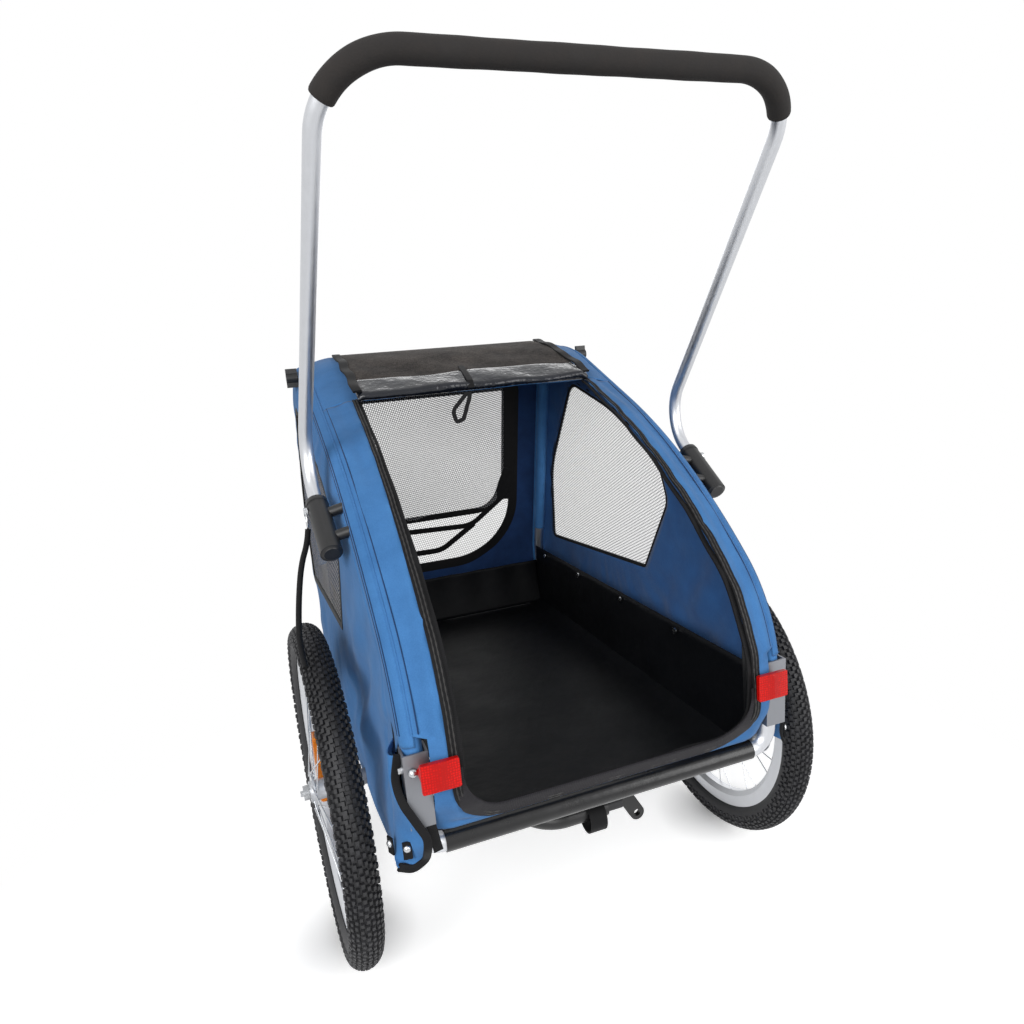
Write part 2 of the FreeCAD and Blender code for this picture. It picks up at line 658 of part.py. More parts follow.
def build_upper(rear_tube, seat, hoop_bar):
    """Hoops, crossbar, corner channels with their bolts, and the reflectors."""
    hoop = hoop_bar.cut(bar_along(hoop_points(), HOOP_RADII, HOOP_D - 2 * TUBE_WALL))
    inside = BASE_TUBE_D / 2 + WIRE_FIT
    outside = inside + CHANNEL_T
    shell = box((-outside, -outside, -CHANNEL_H / 2), (outside, CHANNEL_DEPTH - outside, CHANNEL_H / 2))
    channel = shell.cut(box((-inside, -inside, -CHANNEL_H), (inside, FAR, CHANNEL_H)))
    place = FreeCAD.Placement(seat, FreeCAD.Rotation(AXIS_Z, rear_foot(FAR) - seat))
    bolts = []
    for height in (-CHANNEL_H / 4, CHANNEL_H / 4):
        middle = AXIS_Z * height
        shank = rod(middle - AXIS_X * outside, middle + AXIS_X * outside, BOLT_D)
        channel = channel.cut(shank)
        bolt = shank
        for end in (-1, 1):
            seat_face = middle + AXIS_X * (end * outside)
            bolt = bolt.fuse(rod(seat_face, seat_face + AXIS_X * (end * BOLT_HEAD_H), BOLT_HEAD_D))
        shank.Placement = place
        bolt.Placement = place
        rear_tube = rear_tube.cut(shank).cut(mirrored(shank))
        hoop = hoop.cut(shank)
        bolts += both(bolt)
    channel.Placement = place
    save("rear_channels", *both(channel))
    save("channel_bolts", *bolts)
    save("rear_tube", rear_tube)
    build_reflectors(seat, outside, channel)

    knob = knob_point()
    crossbar = rod((-knob.x, knob.y, knob.z), (knob.x, knob.y, knob.z), CROSSBAR_D)
    crossbar = largest(crossbar.cut(hoop_bar).cut(mirrored(hoop_bar)))
    stud_clear = rod((knob.x - HOOP_D / 2 - KNOB_STUD_BITE - SLIP, knob.y, knob.z), (FAR, knob.y, knob.z),
                     KNOB_STUD_D + 2 * RUN)
    save("crossbar", crossbar.cut(stud_clear).cut(mirrored(stud_clear)))
    hoop = hoop.cut(stud_clear)
    face = knob.x + PANEL_OUT / SIDE_NORMAL.x + KNOB_STAND_OFF
    hub = rod((face, knob.y, knob.z), (face + KNOB_L, knob.y, knob.z), KNOB_D)
    wings = box((face, knob.y - KNOB_WING_T / 2, knob.z - KNOB_SPAN / 2),
                (face + KNOB_L, knob.y + KNOB_WING_T / 2, knob.z + KNOB_SPAN / 2))
    stud = rod((knob.x - HOOP_D / 2 - KNOB_STUD_BITE, knob.y, knob.z), (face, knob.y, knob.z), KNOB_STUD_D)
    screw = hub.fuse(wings).fuse(stud).removeSplitter()
    save("right_knob", screw)
    save("left_knob", mirrored(screw))
    build_handle(hoop, hoop_bar)


def build_reflectors(seat, outside, channel):
    """Red reflectors on stalks bolted to the rear channels."""
    back = seat.y - outside - REFLECTOR_STALK
    half = Vector(REFLECTOR_W / 2, 0, REFLECTOR_H / 2)
    plate = box(Vector(REFLECTOR_X, back - REFLECTOR_T, REFLECTOR_Z) - half,
                Vector(REFLECTOR_X, back, REFLECTOR_Z) + half)
    plate = plate.makeFillet(REFLECTOR_T / 4, plate.Edges)
    crest = back - REFLECTOR_T
    low = crest + 2 * REFLECTOR_RIDGE
    facet = [(REFLECTOR_W, back), (-REFLECTOR_W, back), (-REFLECTOR_W, low), (0, crest), (REFLECTOR_W, low),
             (REFLECTOR_W, back)]
    ridge = Part.Face(Part.makePolygon([Vector(REFLECTOR_X + x, y, 0) for x, y in facet]))
    plate = plate.common(ridge.extrude(AXIS_Z * FAR))
    root = rear_foot(REFLECTOR_Z)
    stalk_x = (REFLECTOR_X + REFLECTOR_W / 2 + root.x - outside) / 2
    stalk = rod((stalk_x, root.y - outside, REFLECTOR_Z),
                (stalk_x, back - REFLECTOR_T / 2, REFLECTOR_Z), REFLECTOR_STALK)
    save("rear_reflectors", *both(largest(plate.fuse(stalk).cut(channel))))


def build_grip(top, down):
    """The foam sleeve of the handle, from bend to bend; it stops short of each bend's end."""
    corner_half = (AXIS_X * -1).getAngle(down) / 2
    bend_end = top + down * (HANDLE_CORNER_R / math.tan(corner_half))
    foot = bend_end + down * GRIP_D
    path = [foot, top, Vector(-top.x, top.y, top.z), Vector(-foot.x, foot.y, foot.z)]
    bends = [HANDLE_CORNER_R] * 2
    sleeve = bar_along(path, bends, GRIP_D).cut(bar_along(path, bends, HANDLE_D))
    centre = top + (down - AXIS_X).normalize() * (HANDLE_CORNER_R / math.sin(corner_half))
    outward = (bend_end - centre).normalize()
    stop = math.radians(GRIP_STOP)
    beyond = Part.makeBox(FAR, FAR, FAR, Vector(-FAR / 2, -FAR / 2, 0))
    way = down * math.cos(stop) + outward * math.sin(stop)
    beyond.Placement = FreeCAD.Placement(centre, FreeCAD.Rotation(AXIS_Z, way))
    save("foam_grip", largest(sleeve.cut(beyond).cut(mirrored(beyond))))


def build_handle(hoop, hoop_bar):
    """Couplers with bolts and pins, the push handle and its foam grip."""
    bend = coupler_axis((HANDLE_BEND_Y - COUPLER_LOW[1]) / (COUPLER_HIGH[1] - COUPLER_LOW[1]))
    start = Vector(COUPLER_LOW) + coupler_way() * COUPLER_FLOOR
    top = Vector(HANDLE_TOP)
    right = [start, bend, top]
    path = right + [Vector(-point.x, point.y, point.z) for point in reversed(right)]
    radii = [HANDLE_BEND_R, HANDLE_CORNER_R, HANDLE_CORNER_R, HANDLE_BEND_R]
    handle = tube_along(path, radii, HANDLE_D)
    pin_at = coupler_axis(PIN_STATION)
    pin_clear = rod(pin_at - AXIS_X * COUPLER_D, pin_at + AXIS_X * COUPLER_D, PIN_D + 2 * RUN)
    save("handle_tube", handle.cut(pin_clear).cut(mirrored(pin_clear)))
    build_grip(top, (bend - top).normalize())

    mouth = Vector(COUPLER_HIGH)
    coupler = rod(COUPLER_LOW, mouth, COUPLER_D)
    bolts = []
    for station in LUG_STATIONS:
        coupler = coupler.fuse(coupler_lug(station, LUG_D))
    socket = rod(start, mouth + coupler_way() * COUPLER_FLOOR, HANDLE_D + 2 * SLIP)
    coupler = largest(coupler.cut(hoop_bar).cut(socket).cut(pin_clear))
    for station in LUG_STATIONS:
        lug = coupler_lug(station, BOLT_D, HOOP_D / 2 + CHANNEL_T)
        shank = lug.cut(rod(COUPLER_LOW, mouth, COUPLER_D))
        coupler = coupler.cut(shank)
        hoop = hoop.cut(shank)
        tip = coupler_lug(station, BOLT_HEAD_D, HOOP_D / 2 + BOLT_HEAD_H)
        tip = tip.cut(coupler_lug(station, LUG_D, HOOP_D / 2)).cut(hoop_bar)
        bolts += both(largest(shank).fuse(largest(tip)))
    save("handle_couplers", *both(coupler))
    save("coupler_bolts", *bolts)
    save("right_hoop", hoop)
    save("left_hoop", mirrored(hoop))

    face = pin_at + AXIS_X * (COUPLER_D / 2 + SLIP)
    shank = rod(pin_at - AXIS_X * (COUPLER_D / 2), face, PIN_D)
    head = rod(face, face + AXIS_X * PIN_HEAD_L, PIN_HEAD_D)
    ring_at = face + AXIS_X * (PIN_HEAD_L / 2) - AXIS_Z * RING_R
    ring = Part.makeTorus(RING_R, RING_WIRE / 2, ring_at, AXIS_X)
    pin = shank.fuse(head).fuse(ring).removeSplitter()
    save("right_pin", pin)
    save("left_pin", mirrored(pin))
    build_cord(Vector(-ring_at.x, ring_at.y, ring_at.z - RING_R))


def build_cord(ring_foot):
    """The limp wrist strap that hangs from the left pin's ring."""
    points = [ring_foot + Vector(step) for step in CORD_STEPS]
    radii = []
    for before, corner, after in zip(points, points[1:], points[2:]):
        back = before - corner
        ahead = after - corner
        shorter = min(back.Length, ahead.Length)
        radii.append(CORD_RUN_SHARE * shorter * math.tan(back.getAngle(ahead) / 2))
    cord = bar_along(points, radii, CORD_D)
    length = Part.Wire(rounded_edges(points, radii)).Length
    print("cord radii", [round(radius, 1) for radius in radii], "length", round(length, 1))
    print("cord volume ratio", round(cord.Volume / (math.pi * CORD_D ** 2 / 4 * length), 4))
    save("wrist_strap", cord)


def build_wheel(name, centre):
    """One road wheel: tyre, rim, hub, spokes and spoke reflector, about an axle along X."""
    outer = math.copysign(1, centre.x)

    def save_seated(part, *shapes):
        """Write one node of the wheel, the left one as its axle sits."""
        places = [shape.translated(centre) for shape in shapes]
        save(name + part, *(places if outer > 0 else [askew(place) for place in places]))

    ring_r = WHEEL_D / 2 - TYRE_W / 2
    disc = Part.Face(Part.Wire(Part.Circle(Vector(0, 0, ring_r), AXIS_Y, TYRE_W / 2).toShape()))
    core = Part.Face(Part.Wire(Part.Circle(Vector(0, 0, ring_r), AXIS_Y, TYRE_W / 2 - TYRE_WALL).toShape()))
    tyre = disc.cut(core).revolve(ORIGIN, AXIS_X, 360)
    seat = rod((-RIM_W / 2 - SLIP, 0, 0), (RIM_W / 2 + SLIP, 0, 0), RIM_D + 2 * SLIP)
    save_seated("_tyre", largest(tyre.cut(seat)))

    rim_r = RIM_D / 2
    well_r = rim_r - RIM_DEPTH
    half = RIM_W / 2
    lip = half - RIM_WALL
    floor_r = rim_r - RIM_DEPTH / 3
    profile = [(-half, rim_r), (-half, rim_r - RIM_DEPTH * 0.7), (-half / 2, well_r), (half / 2, well_r),
               (half, rim_r - RIM_DEPTH * 0.7), (half, rim_r), (lip, rim_r), (lip, floor_r),
               (-lip, floor_r), (-lip, rim_r)]
    save_seated("_rim", lathe(profile, ORIGIN))

    end = HUB_L / 2
    flange_in = FLANGE_GAP / 2 - FLANGE_T / 2
    flange_out = FLANGE_GAP / 2 + FLANGE_T / 2
    bore = AXLE_D / 2 + RUN
    body = HUB_D / 2
    tall = FLANGE_D / 2
    right = [(flange_in, body), (flange_in, tall), (flange_out, tall), (flange_out, body),
             (end, body), (end, bore)]
    left = [(-along, radius) for along, radius in reversed(right)]
    save_seated("_hub", lathe(left + right, ORIGIN))

    spokes = []
    per_flange = 2 * SPOKE_PAIRS
    step = 360.0 / per_flange
    hole_r = tall - FLANGE_T
    side_step = FLANGE_T / 2 + SPOKE_D / 2 + RUN
    for side in (-1, 1):
        for index in range(per_flange):
            lead = 1 if index % 2 else -1
            hub_turn = math.radians(step * (index + outer * side / 4))
            rim_turn = hub_turn + math.radians(lead * SPOKE_CROSS * step)
            x = side * (FLANGE_GAP / 2 + lead * side_step + max(lead, 0) * SPOKE_LIFT)
            start = Vector(x, hole_r * math.cos(hub_turn), hole_r * math.sin(hub_turn))
            reach = well_r - SLIP
            stop = Vector(side * RIM_W / 8, reach * math.cos(rim_turn), reach * math.sin(rim_turn))
            spokes.append(rod(start, stop, SPOKE_D))
    save_seated("_spokes", *spokes)

    lamp = box((-SPOKE_LAMP_T / 2, SPOKE_LAMP_R - SPOKE_LAMP_W / 2, -SPOKE_LAMP_L / 2),
               (SPOKE_LAMP_T / 2, SPOKE_LAMP_R + SPOKE_LAMP_W / 2, SPOKE_LAMP_L / 2))
    lamp = lamp.makeFillet(SPOKE_LAMP_T / 3, lamp.Edges)
    save_seated("_spoke_reflector", lamp.translated(AXIS_X * (outer * SPOKE_LAMP_OUT)))


def build_axles():
    """Stub axles with their heads and the release buttons in them."""
    face = TRACK / 2 + HUB_L / 2 + SLIP
    button_depth = BUTTON_TRAVEL + BUTTON_SEAT
    well = rod((face + AXLE_HEAD_L - button_depth, 0, AXLE_Z), (FAR, 0, AXLE_Z), BUTTON_D + 2 * RUN)
    axle = rod((rail_x(0) - BASE_TUBE_D / 2, 0, AXLE_Z), (face, 0, AXLE_Z), AXLE_D)
    cap = rod((face, 0, AXLE_Z), (face + AXLE_HEAD_L, 0, AXLE_Z), AXLE_HEAD_D)
    axle = axle.fuse(cap).cut(well).removeSplitter()
    out = face + AXLE_HEAD_L
    button = rod((out - BUTTON_SEAT + SLIP, 0, AXLE_Z), (out + BUTTON_TRAVEL + SLIP, 0, AXLE_Z), BUTTON_D)
    save("wheel_axles", axle, askew(mirrored(axle)))
    save("right_release_button", button)
    save("left_release_button", askew(mirrored(button)))


def build_drawbar(rail_bar):
    """The drawbar folded under the floor, its bracket, bolt, clip, strap and hitch arm."""
    pivot = Vector(DRAWBAR_PIVOT)
    x, y, z = DRAWBAR_PIVOT
    path = [(x, y + DRAWBAR_NOSE, z), (x, DRAWBAR_KNEE_Y, z), (DRAWBAR_HIP_X, DRAWBAR_END_Y, z),
            (DRAWBAR_END_X, DRAWBAR_END_Y, z)]
    bends = [DRAWBAR_KNEE_R, DRAWBAR_HIP_R]
    half = DRAWBAR_D / 2 + SLIP
    bolt_end = half + CHEEK_T
    bolt = rod(pivot - AXIS_X * bolt_end, pivot + AXIS_X * bolt_end, DRAWBAR_BOLT_D)
    bore = rod(pivot - AXIS_X * bolt_end, pivot + AXIS_X * bolt_end, DRAWBAR_BOLT_D + 2 * RUN)
    save("drawbar", tube_along(path, bends, DRAWBAR_D, DRAWBAR_WALL).cut(bore))
    tub_space = box((-FAR, -FAR, TUB_FLOOR_Z - SLIP), (FAR, FRONT_Y - BASE_TUBE_D / 2, FAR))
    cheeks = []
    for side in (-1, 1):
        near = x + side * half
        far = x + side * bolt_end
        cheek = box((min(near, far), y - DRAWBAR_D / 2 - CHEEK_T, z - DRAWBAR_D / 2 - CHEEK_T),
                    (max(near, far), FRONT_Y + BASE_TUBE_D / 2, BASE_Z))
        cheeks.append(largest(cheek.cut(rail_bar).cut(bolt).cut(tub_space)))
    save("drawbar_bracket", *cheeks)
    heads = [rod(pivot + AXIS_X * (side * bolt_end), pivot + AXIS_X * (side * (bolt_end + BOLT_HEAD_H)),
                 1.7 * DRAWBAR_BOLT_D) for side in (-1, 1)]
    save("drawbar_bolt", bolt.fuse(heads).removeSplitter())

    share = DRAWBAR_KNEE_Y / (DRAWBAR_KNEE_Y - DRAWBAR_END_Y)
    clip_at = Vector(x + (DRAWBAR_HIP_X - x) * share, 0, z)
    way = Vector(DRAWBAR_HIP_X - x, DRAWBAR_END_Y - DRAWBAR_KNEE_Y, 0)
    reach = DRAWBAR_D / 2 + CLIP_GAP
    clip = box((-CLIP_L / 2, -reach - CLIP_T, -DRAWBAR_D / 2), (CLIP_L / 2, reach + CLIP_T, AXLE_Z - z))
    clip = clip.cut(box((-CLIP_L, -reach, -DRAWBAR_D), (CLIP_L, reach, DRAWBAR_D / 2 + CLIP_GAP)))
    clip.Placement = FreeCAD.Placement(clip_at, FreeCAD.Rotation(AXIS_X, way))
    axle_line = rod((-FAR, 0, AXLE_Z), (FAR, 0, AXLE_Z), BASE_TUBE_D)
    clip = clip.cut(axle_line)
    save("stow_clip", largest(clip))

    build_hitch(Vector(DRAWBAR_END_X, DRAWBAR_END_Y, z))


def build_hitch(end):
    """The rubber buffer in the drawbar's end, the hitch arm in it and the safety strap."""
    buffer_end = end + AXIS_X * BUFFER_L
    deep = end - AXIS_X * HITCH_SHANK_L
    plug = rod(deep, end, DRAWBAR_D - 2 * DRAWBAR_WALL)
    buffer = rod(end, buffer_end, BUFFER_D).fuse(plug)
    save("hitch_buffer", buffer.cut(rod(deep, buffer_end, HITCH_SHANK_D + 2 * RUN)).removeSplitter())
    root = buffer_end + AXIS_X * (SLIP + HITCH_W / 2)
    fall = Vector(HITCH_REACH, 0, -HITCH_DROP)
    near = AXIS_Y * (HITCH_T / 2)
    arm = Part.makeCylinder(HITCH_W / 2, HITCH_T, root - near, AXIS_Y)
    arm = arm.fuse(Part.makeCylinder(HITCH_W / 2, HITCH_T, root + fall - near, AXIS_Y))
    across = fall.cross(AXIS_Y).normalize() * (HITCH_W / 2)
    corners = [root + across, root + fall + across, root + fall - across, root - across, root + across]
    web = Part.Face(Part.makePolygon([corner - near for corner in corners])).extrude(AXIS_Y * HITCH_T)
    root_disc = rod(root - AXIS_Y * HITCH_W, root + AXIS_Y * HITCH_W, HITCH_W)
    shank = rod(deep + AXIS_X * SLIP, root, HITCH_SHANK_D).cut(root_disc)
    arm = arm.fuse(web).fuse(largest(shank)).removeSplitter()
    eye = rod(root + fall - AXIS_Y * HITCH_T, root + fall + AXIS_Y * HITCH_T, HITCH_EYE_D)
    save("hitch_arm", arm.cut(eye))

    loop_r = DRAWBAR_D / 2 + LOOP_SLACK
    loop_end = end - AXIS_X * LOOP_SLACK + AXIS_Z * (DRAWBAR_D / 2 + SLIP - loop_r)
    loop_start = loop_end - AXIS_X * LOOP_W
    band = rod(loop_start, loop_end, 2 * (loop_r + STRAP_T))
    save("safety_strap", band.cut(rod(loop_start, loop_end, 2 * loop_r)))


def build_caster(rail_bar):
    """The front swivel wheel: arm, fork, axle bolt, rim and tyre."""
    head_low = Vector(0, CASTER_Y, HEAD_Z - HEAD_L / 2)
    head_high = Vector(0, CASTER_Y, HEAD_Z + HEAD_L / 2)
    arm = rod((0, FRONT_Y - BASE_TUBE_D / 2, HEAD_Z), (0, CASTER_Y, HEAD_Z), ARM_D).cut(rail_bar)
    bore = rod(head_low - AXIS_Z, head_high + AXIS_Z, STEM_D + 2 * RUN)
    head = rod(head_low, head_high, HEAD_D)
    save("wheel_arm", largest(largest(arm).fuse(head).cut(bore).removeSplitter()))

    axle = Vector(0, CASTER_Y - CASTER_TRAIL, CASTER_D / 2)
    crown_top = head_low.z - SLIP
    leg_in = CASTER_W / 2 + FORK_GAP
    leg_out = leg_in + FORK_T
    crown = box((-leg_out, CASTER_Y - FORK_W / 2, crown_top - CROWN_T),
                (leg_out, CASTER_Y + FORK_W / 2, crown_top))
    stem_top = head_high.z + SLIP
    fork = crown.fuse(rod((0, CASTER_Y, crown_top), (0, CASTER_Y, stem_top + CROWN_T), STEM_D))
    fork = fork.fuse(rod((0, CASTER_Y, stem_top), (0, CASTER_Y, stem_top + CROWN_T), HEAD_D - STEM_D / 2))
    way = Vector(0, CASTER_Y, crown_top - CROWN_T / 2) - axle
    for side in (-1, 1):
        start = axle + AXIS_X * (leg_in if side > 0 else -leg_out)
        leg = Part.makeBox(FORK_T, FORK_W, way.Length, Vector(0, -FORK_W / 2, 0))
        leg.rotate(ORIGIN, AXIS_X, math.degrees(math.atan2(-way.y, way.z)))
        foot = Part.makeCylinder(FORK_W / 2, FORK_T, start, AXIS_X)
        fork = fork.fuse(leg.translated(start)).fuse(foot)
    bolt = rod(axle - AXIS_X * leg_out, axle + AXIS_X * leg_out, CASTER_AXLE_D)
    ceiling = box((-FAR, -FAR, crown_top), (FAR, CASTER_Y - STEM_D / 2 - RUN, FAR))
    fork = fork.cut(ceiling).cut(bolt)
    save("caster_fork", largest(fork.removeSplitter()))
    heads = [rod(axle + AXIS_X * (side * leg_out), axle + AXIS_X * (side * (leg_out + BOLT_HEAD_H)),
                 1.7 * CASTER_AXLE_D) for side in (-1, 1)]
    save("caster_axle", bolt.fuse(heads).removeSplitter())

    half = CASTER_W / 2
    rim_r = CASTER_RIM_D / 2
    bore_r = CASTER_AXLE_D / 2 + RUN
    hub_r = 2 * CASTER_AXLE_D
    hub_half = leg_in - SLIP
    web = RIM_WALL + FORK_T / 2
    bed = half - RIM_WALL / 2
    right = [(bed, rim_r), (bed, rim_r - web), (web, rim_r - web), (web, hub_r), (hub_half, hub_r),
             (hub_half, bore_r)]
    left = [(-along, radius) for along, radius in reversed(right)]
    save("caster_rim", lathe(left + right, axle))
    outer_r = CASTER_D / 2
    crown_r = outer_r - half / 2
    tread = [(-half, rim_r), (-half, crown_r), (-half / 2, outer_r),
             (half / 2, outer_r), (half, crown_r), (half, rim_r)]
    save("caster_tyre", lathe(tread, axle))


os.makedirs("parts", exist_ok=True)
build_cover()
build_tub()
build_base()
build_wheel("right", Vector(TRACK / 2, 0, AXLE_Z))
build_wheel("left", Vector(-TRACK / 2, 0, AXLE_Z))
build_axles()
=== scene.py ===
"""Dressed model of a two-wheeled dog trailer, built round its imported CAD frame."""
from functools import partial
from math import acos, pi, radians, tan
import bmesh
import bpy
import numpy as np
from numpy import append, clip, concatenate, cos, interp, linspace, sin
from mathutils import Matrix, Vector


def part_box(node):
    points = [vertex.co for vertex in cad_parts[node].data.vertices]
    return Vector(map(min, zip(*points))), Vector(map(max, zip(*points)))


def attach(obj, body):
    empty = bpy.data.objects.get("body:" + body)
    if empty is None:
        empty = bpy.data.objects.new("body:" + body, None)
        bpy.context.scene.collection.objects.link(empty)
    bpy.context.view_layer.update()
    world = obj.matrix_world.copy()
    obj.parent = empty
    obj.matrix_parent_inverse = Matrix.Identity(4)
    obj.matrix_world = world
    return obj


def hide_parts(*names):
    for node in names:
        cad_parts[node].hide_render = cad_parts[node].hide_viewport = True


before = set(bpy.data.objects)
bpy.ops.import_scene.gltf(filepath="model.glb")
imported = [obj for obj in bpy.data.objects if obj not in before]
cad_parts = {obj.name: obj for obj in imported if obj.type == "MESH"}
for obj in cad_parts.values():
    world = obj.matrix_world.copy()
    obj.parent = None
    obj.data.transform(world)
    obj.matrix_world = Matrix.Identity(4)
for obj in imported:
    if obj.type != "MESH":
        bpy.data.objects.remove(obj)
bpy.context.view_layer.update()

# Sizes shared with the frame: millimetres from the ground point under the axle
SHIFT = np.array((0.0, -220.75, 0.0))
COVER_CORNERS = ((-268, 303), (-300, 355), (-306, 492), (-80, 712), (338, 899), (505, 899), (652, 405),
                 (652, 303))
COVER_RADII = (60, 241.6, 1100, 350, 66, 86)
HOOP_X = 256.0
TOE = tan(radians(1.15))
LEAN = tan(radians(0.2))
HOOP_INSET = 26.0
HOOP_R = 11.0
PANEL_OUT = 14.3
WINDOW_SWELL = 9.0
SIDE_WINDOW = ((396, 812), (550, 612), (566, 434), (100, 460), (6, 598), (32, 668), (206, 758))
SIDE_WINDOW_R = (48, 170, 14, 16, 34, 40, 500)
DOOR_HALF, DOOR_SILL, DOOR_TOP, DOOR_R = 207.0, 316.0, 817.0, 62.0
NOTCH_X, NOTCH_Z = 236.0, 440.0
TUB_REAR_Y, TUB_FRONT_Y, FLOOR_Z = -247.0, 612.0, 269.5
AXLE_Z, HALF_TRACK = 250.0, 340.0
AXLE_SLACK, SLACK_X = 3.0, -275.997
TYRE_RING, TYRE_SECTION = 226.0, 20.5
HANDLE_TOP = (269.0, -331.0, 1143.0)
HANDLE_BEND_Y = 52.0
HANDLE_CORNER_R = 86.0
COUPLER_LOW = (298.0, -103.0, 629.0)
COUPLER_HIGH = (303.0, -20.0, 686.0)
GRIP_D, GRIP_STOP = 27.0, 24.0
ROLL_HALF, ROLL_Y, ROLL_Z, ROLL_TIE_R = 203.0, 665.3, 354.0, 13.4
CORD_D = 8.0
CORD_POINTS = ((-320.0, -33.28, 652.98), (-323.0, -36.98, 635.98), (-336.0, -44.98, 607.98),
               (-345.0, -54.98, 569.98), (-352.0, -70.98, 530.98), (-355.0, -90.98, 503.98),
               (-352.0, -115.98, 485.98))

# Outlines of small soft pieces, as seen from behind: (x, z)
TIE_LOOP = ((-20.0, 816.0), (-50.0, 786.0), (-46.0, 766.0), (-33.0, 770.0), (-17.0, 810.0))
TONGUE = ((270.0, 420.0), (279.0, 380.0), (250.0, 317.0), (252.0, 281.0), (268.0, 270.0), (285.0, 281.0))
TONGUE_R = (60.0, 30.0, 14.0, 12.0)

# Cloth thickness in millimetres, and the distance in metres at which points count as one
CANVAS_T, BACKING_T, FLAP_T = 1.6, 0.8, 1.2
MERGE = 2e-6

# Light, in part-frame metres and watts
WORLD_LIGHT = 0.2
FLOOR_GLOW = 0.6
# Low glow at the wheels' contact points: the floor there is darker, painted shade along with the real contact
# shadow.
CONTACT_GLOW_PAINTED_SHADE = 0.1
LAMP_AIM = (0.0, -0.15, 0.5)
LAMPS = (("key", (-1.5, -2.7, 1.3), 1.8, 38.0), ("fill", (1.9, -2.2, 0.9), 2.0, 44.0),
         ("side", (-2.0, -2.0, 1.8), 1.2, 34.0), ("front", (0.9, 2.7, 1.6), 2.0, 16.0))


# Helpers for shapes

def metres(points):
    """Axle millimetres as part-frame metres: shift along Y, then divide by a thousand."""
    return (np.asarray(points, float) + SHIFT) / 1000.0


def joined(*parts):
    """Coordinates as one array of points, each part spread to their common shape."""
    return np.stack(np.broadcast_arrays(*parts), axis=-1)


def unit(ways):
    """Directions divided by their lengths."""
    ways = np.asarray(ways, float)
    return ways / np.linalg.norm(ways, axis=-1, keepdims=True)


def run_of(path):
    """Arc length from the start of a path to each of its points."""
    return append(0.0, np.cumsum(np.linalg.norm(np.diff(path, axis=0), axis=1)))


def at_runs(path, run, at):
    """Points of a path at given arc lengths, straight between its own points."""
    return joined(*[interp(at, run, part) for part in path.T])


def resample(path, count):
    """Points at equal steps of arc length along a path."""
    path = np.asarray(path, float)
    run = run_of(path)
    return at_runs(path, run, linspace(0.0, run[-1], count))


def rounded(points, radii, steps=16):
    """Straight runs joined by tangent arcs: centre + R (cos w · out + sin w · ahead), w from 0 to the
    turn."""
    points = np.asarray(points, float)
    runs = [points[:1]]
    for before, corner, after, radius in zip(points, points[1:], points[2:], radii):
        back, ahead = unit(before - corner), unit(after - corner)
        half = acos(clip(back @ ahead, -1, 1)) / 2
        start = corner + back * radius / tan(half)
        centre = corner + unit(back + ahead) * radius / sin(half)
        turn = linspace(0.0, pi - 2 * half, steps)[:, None]
        runs.append(centre + cos(turn) * (start - centre) - sin(turn) * back * radius)
    return concatenate(runs + [points[-1:]])


def closed_loop(corners, radii, count):
    """A closed outline with rounded corners, from the middle of its last side, at equal steps."""
    corners = np.asarray(corners, float)
    middle = (corners[:1] + corners[-1:]) / 2
    return resample(rounded(concatenate([middle, corners, middle]), radii), count)


def smooth_step(value):
    """3v² - 2v³ between 0 and 1."""
    value = clip(value, 0.0, 1.0)
    return value * value * (3.0 - 2.0 * value)


def mirror_x(points):
    """The left-hand twin of a grid, with its rows reversed so that its faces still point outwards."""
    return points[::-1] * np.array((-1.0, 1.0, 1.0))


def both_sides(grids):
    """Grids followed by their left-hand twins."""
    return grids + [mirror_x(grid) for grid in grids]


def sweep(path, profile, up, capped=True, scale=1.0):
    """Carry a closed (side, lift) profile along a path: ring = point + side · (tangent × up) + lift · up,
    with up made square to the path; capped ends close on the path's end points."""
    path = np.asarray(path, float)
    tangent = unit(np.gradient(path, axis=0))
    up = np.broadcast_to(np.asarray(up, float), path.shape)
    up = unit(up - np.sum(up * tangent, axis=1, keepdims=True) * tangent)
    side = np.cross(tangent, up)
    size = np.broadcast_to(np.asarray(scale, float), len(path))[:, None, None]
    rings = path[:, None] + profile[:, :1] * size * side[:, None] + profile[:, 1:] * size * up[:, None]
    if capped:
        ends = [np.broadcast_to(path[k], rings[:1].shape) for k in (0, -1)]
        rings = concatenate([ends[0], rings, ends[1]])
    return rings


def band(width, height, count=20, power=0.35):
    """A strap's closed profile: an oval whose waves are raised to a power; a low one squares its sides."""
    turn = linspace(0.0, -2 * pi, count + 1)
    wave = joined(cos(turn), sin(turn))
    return np.sign(wave) * np.abs(wave) ** power * (width / 2, height / 2)


def oval(width, height, count=12):
    """A closed oval profile."""
    return band(width, height, count, 1.0)


def turned(profile, centre, count):
    """A profile of (along, radius) points turned about the X direction through a centre."""
    turn = linspace(0.0, 2 * pi, count + 1)[:, None]
    along, radius = profile.T
    return joined(along, radius * cos(turn), radius * sin(turn)) + centre


def put(name, data):
    """A new object at the origin, in the scene."""
    piece = bpy.data.objects.new(name, data)
    bpy.context.collection.objects.link(piece)
    return piece


BLOCK_FACES = np.array([(4, 5, 6, 7), (0, 1, 5, 4), (1, 2, 6, 5), (2, 3, 7, 6), (3, 0, 4, 7), (3, 2, 1, 0)])
FACE_MAP = ((0.0, 0.0), (1.0, 0.0), (1.0, 1.0), (0.0, 1.0))


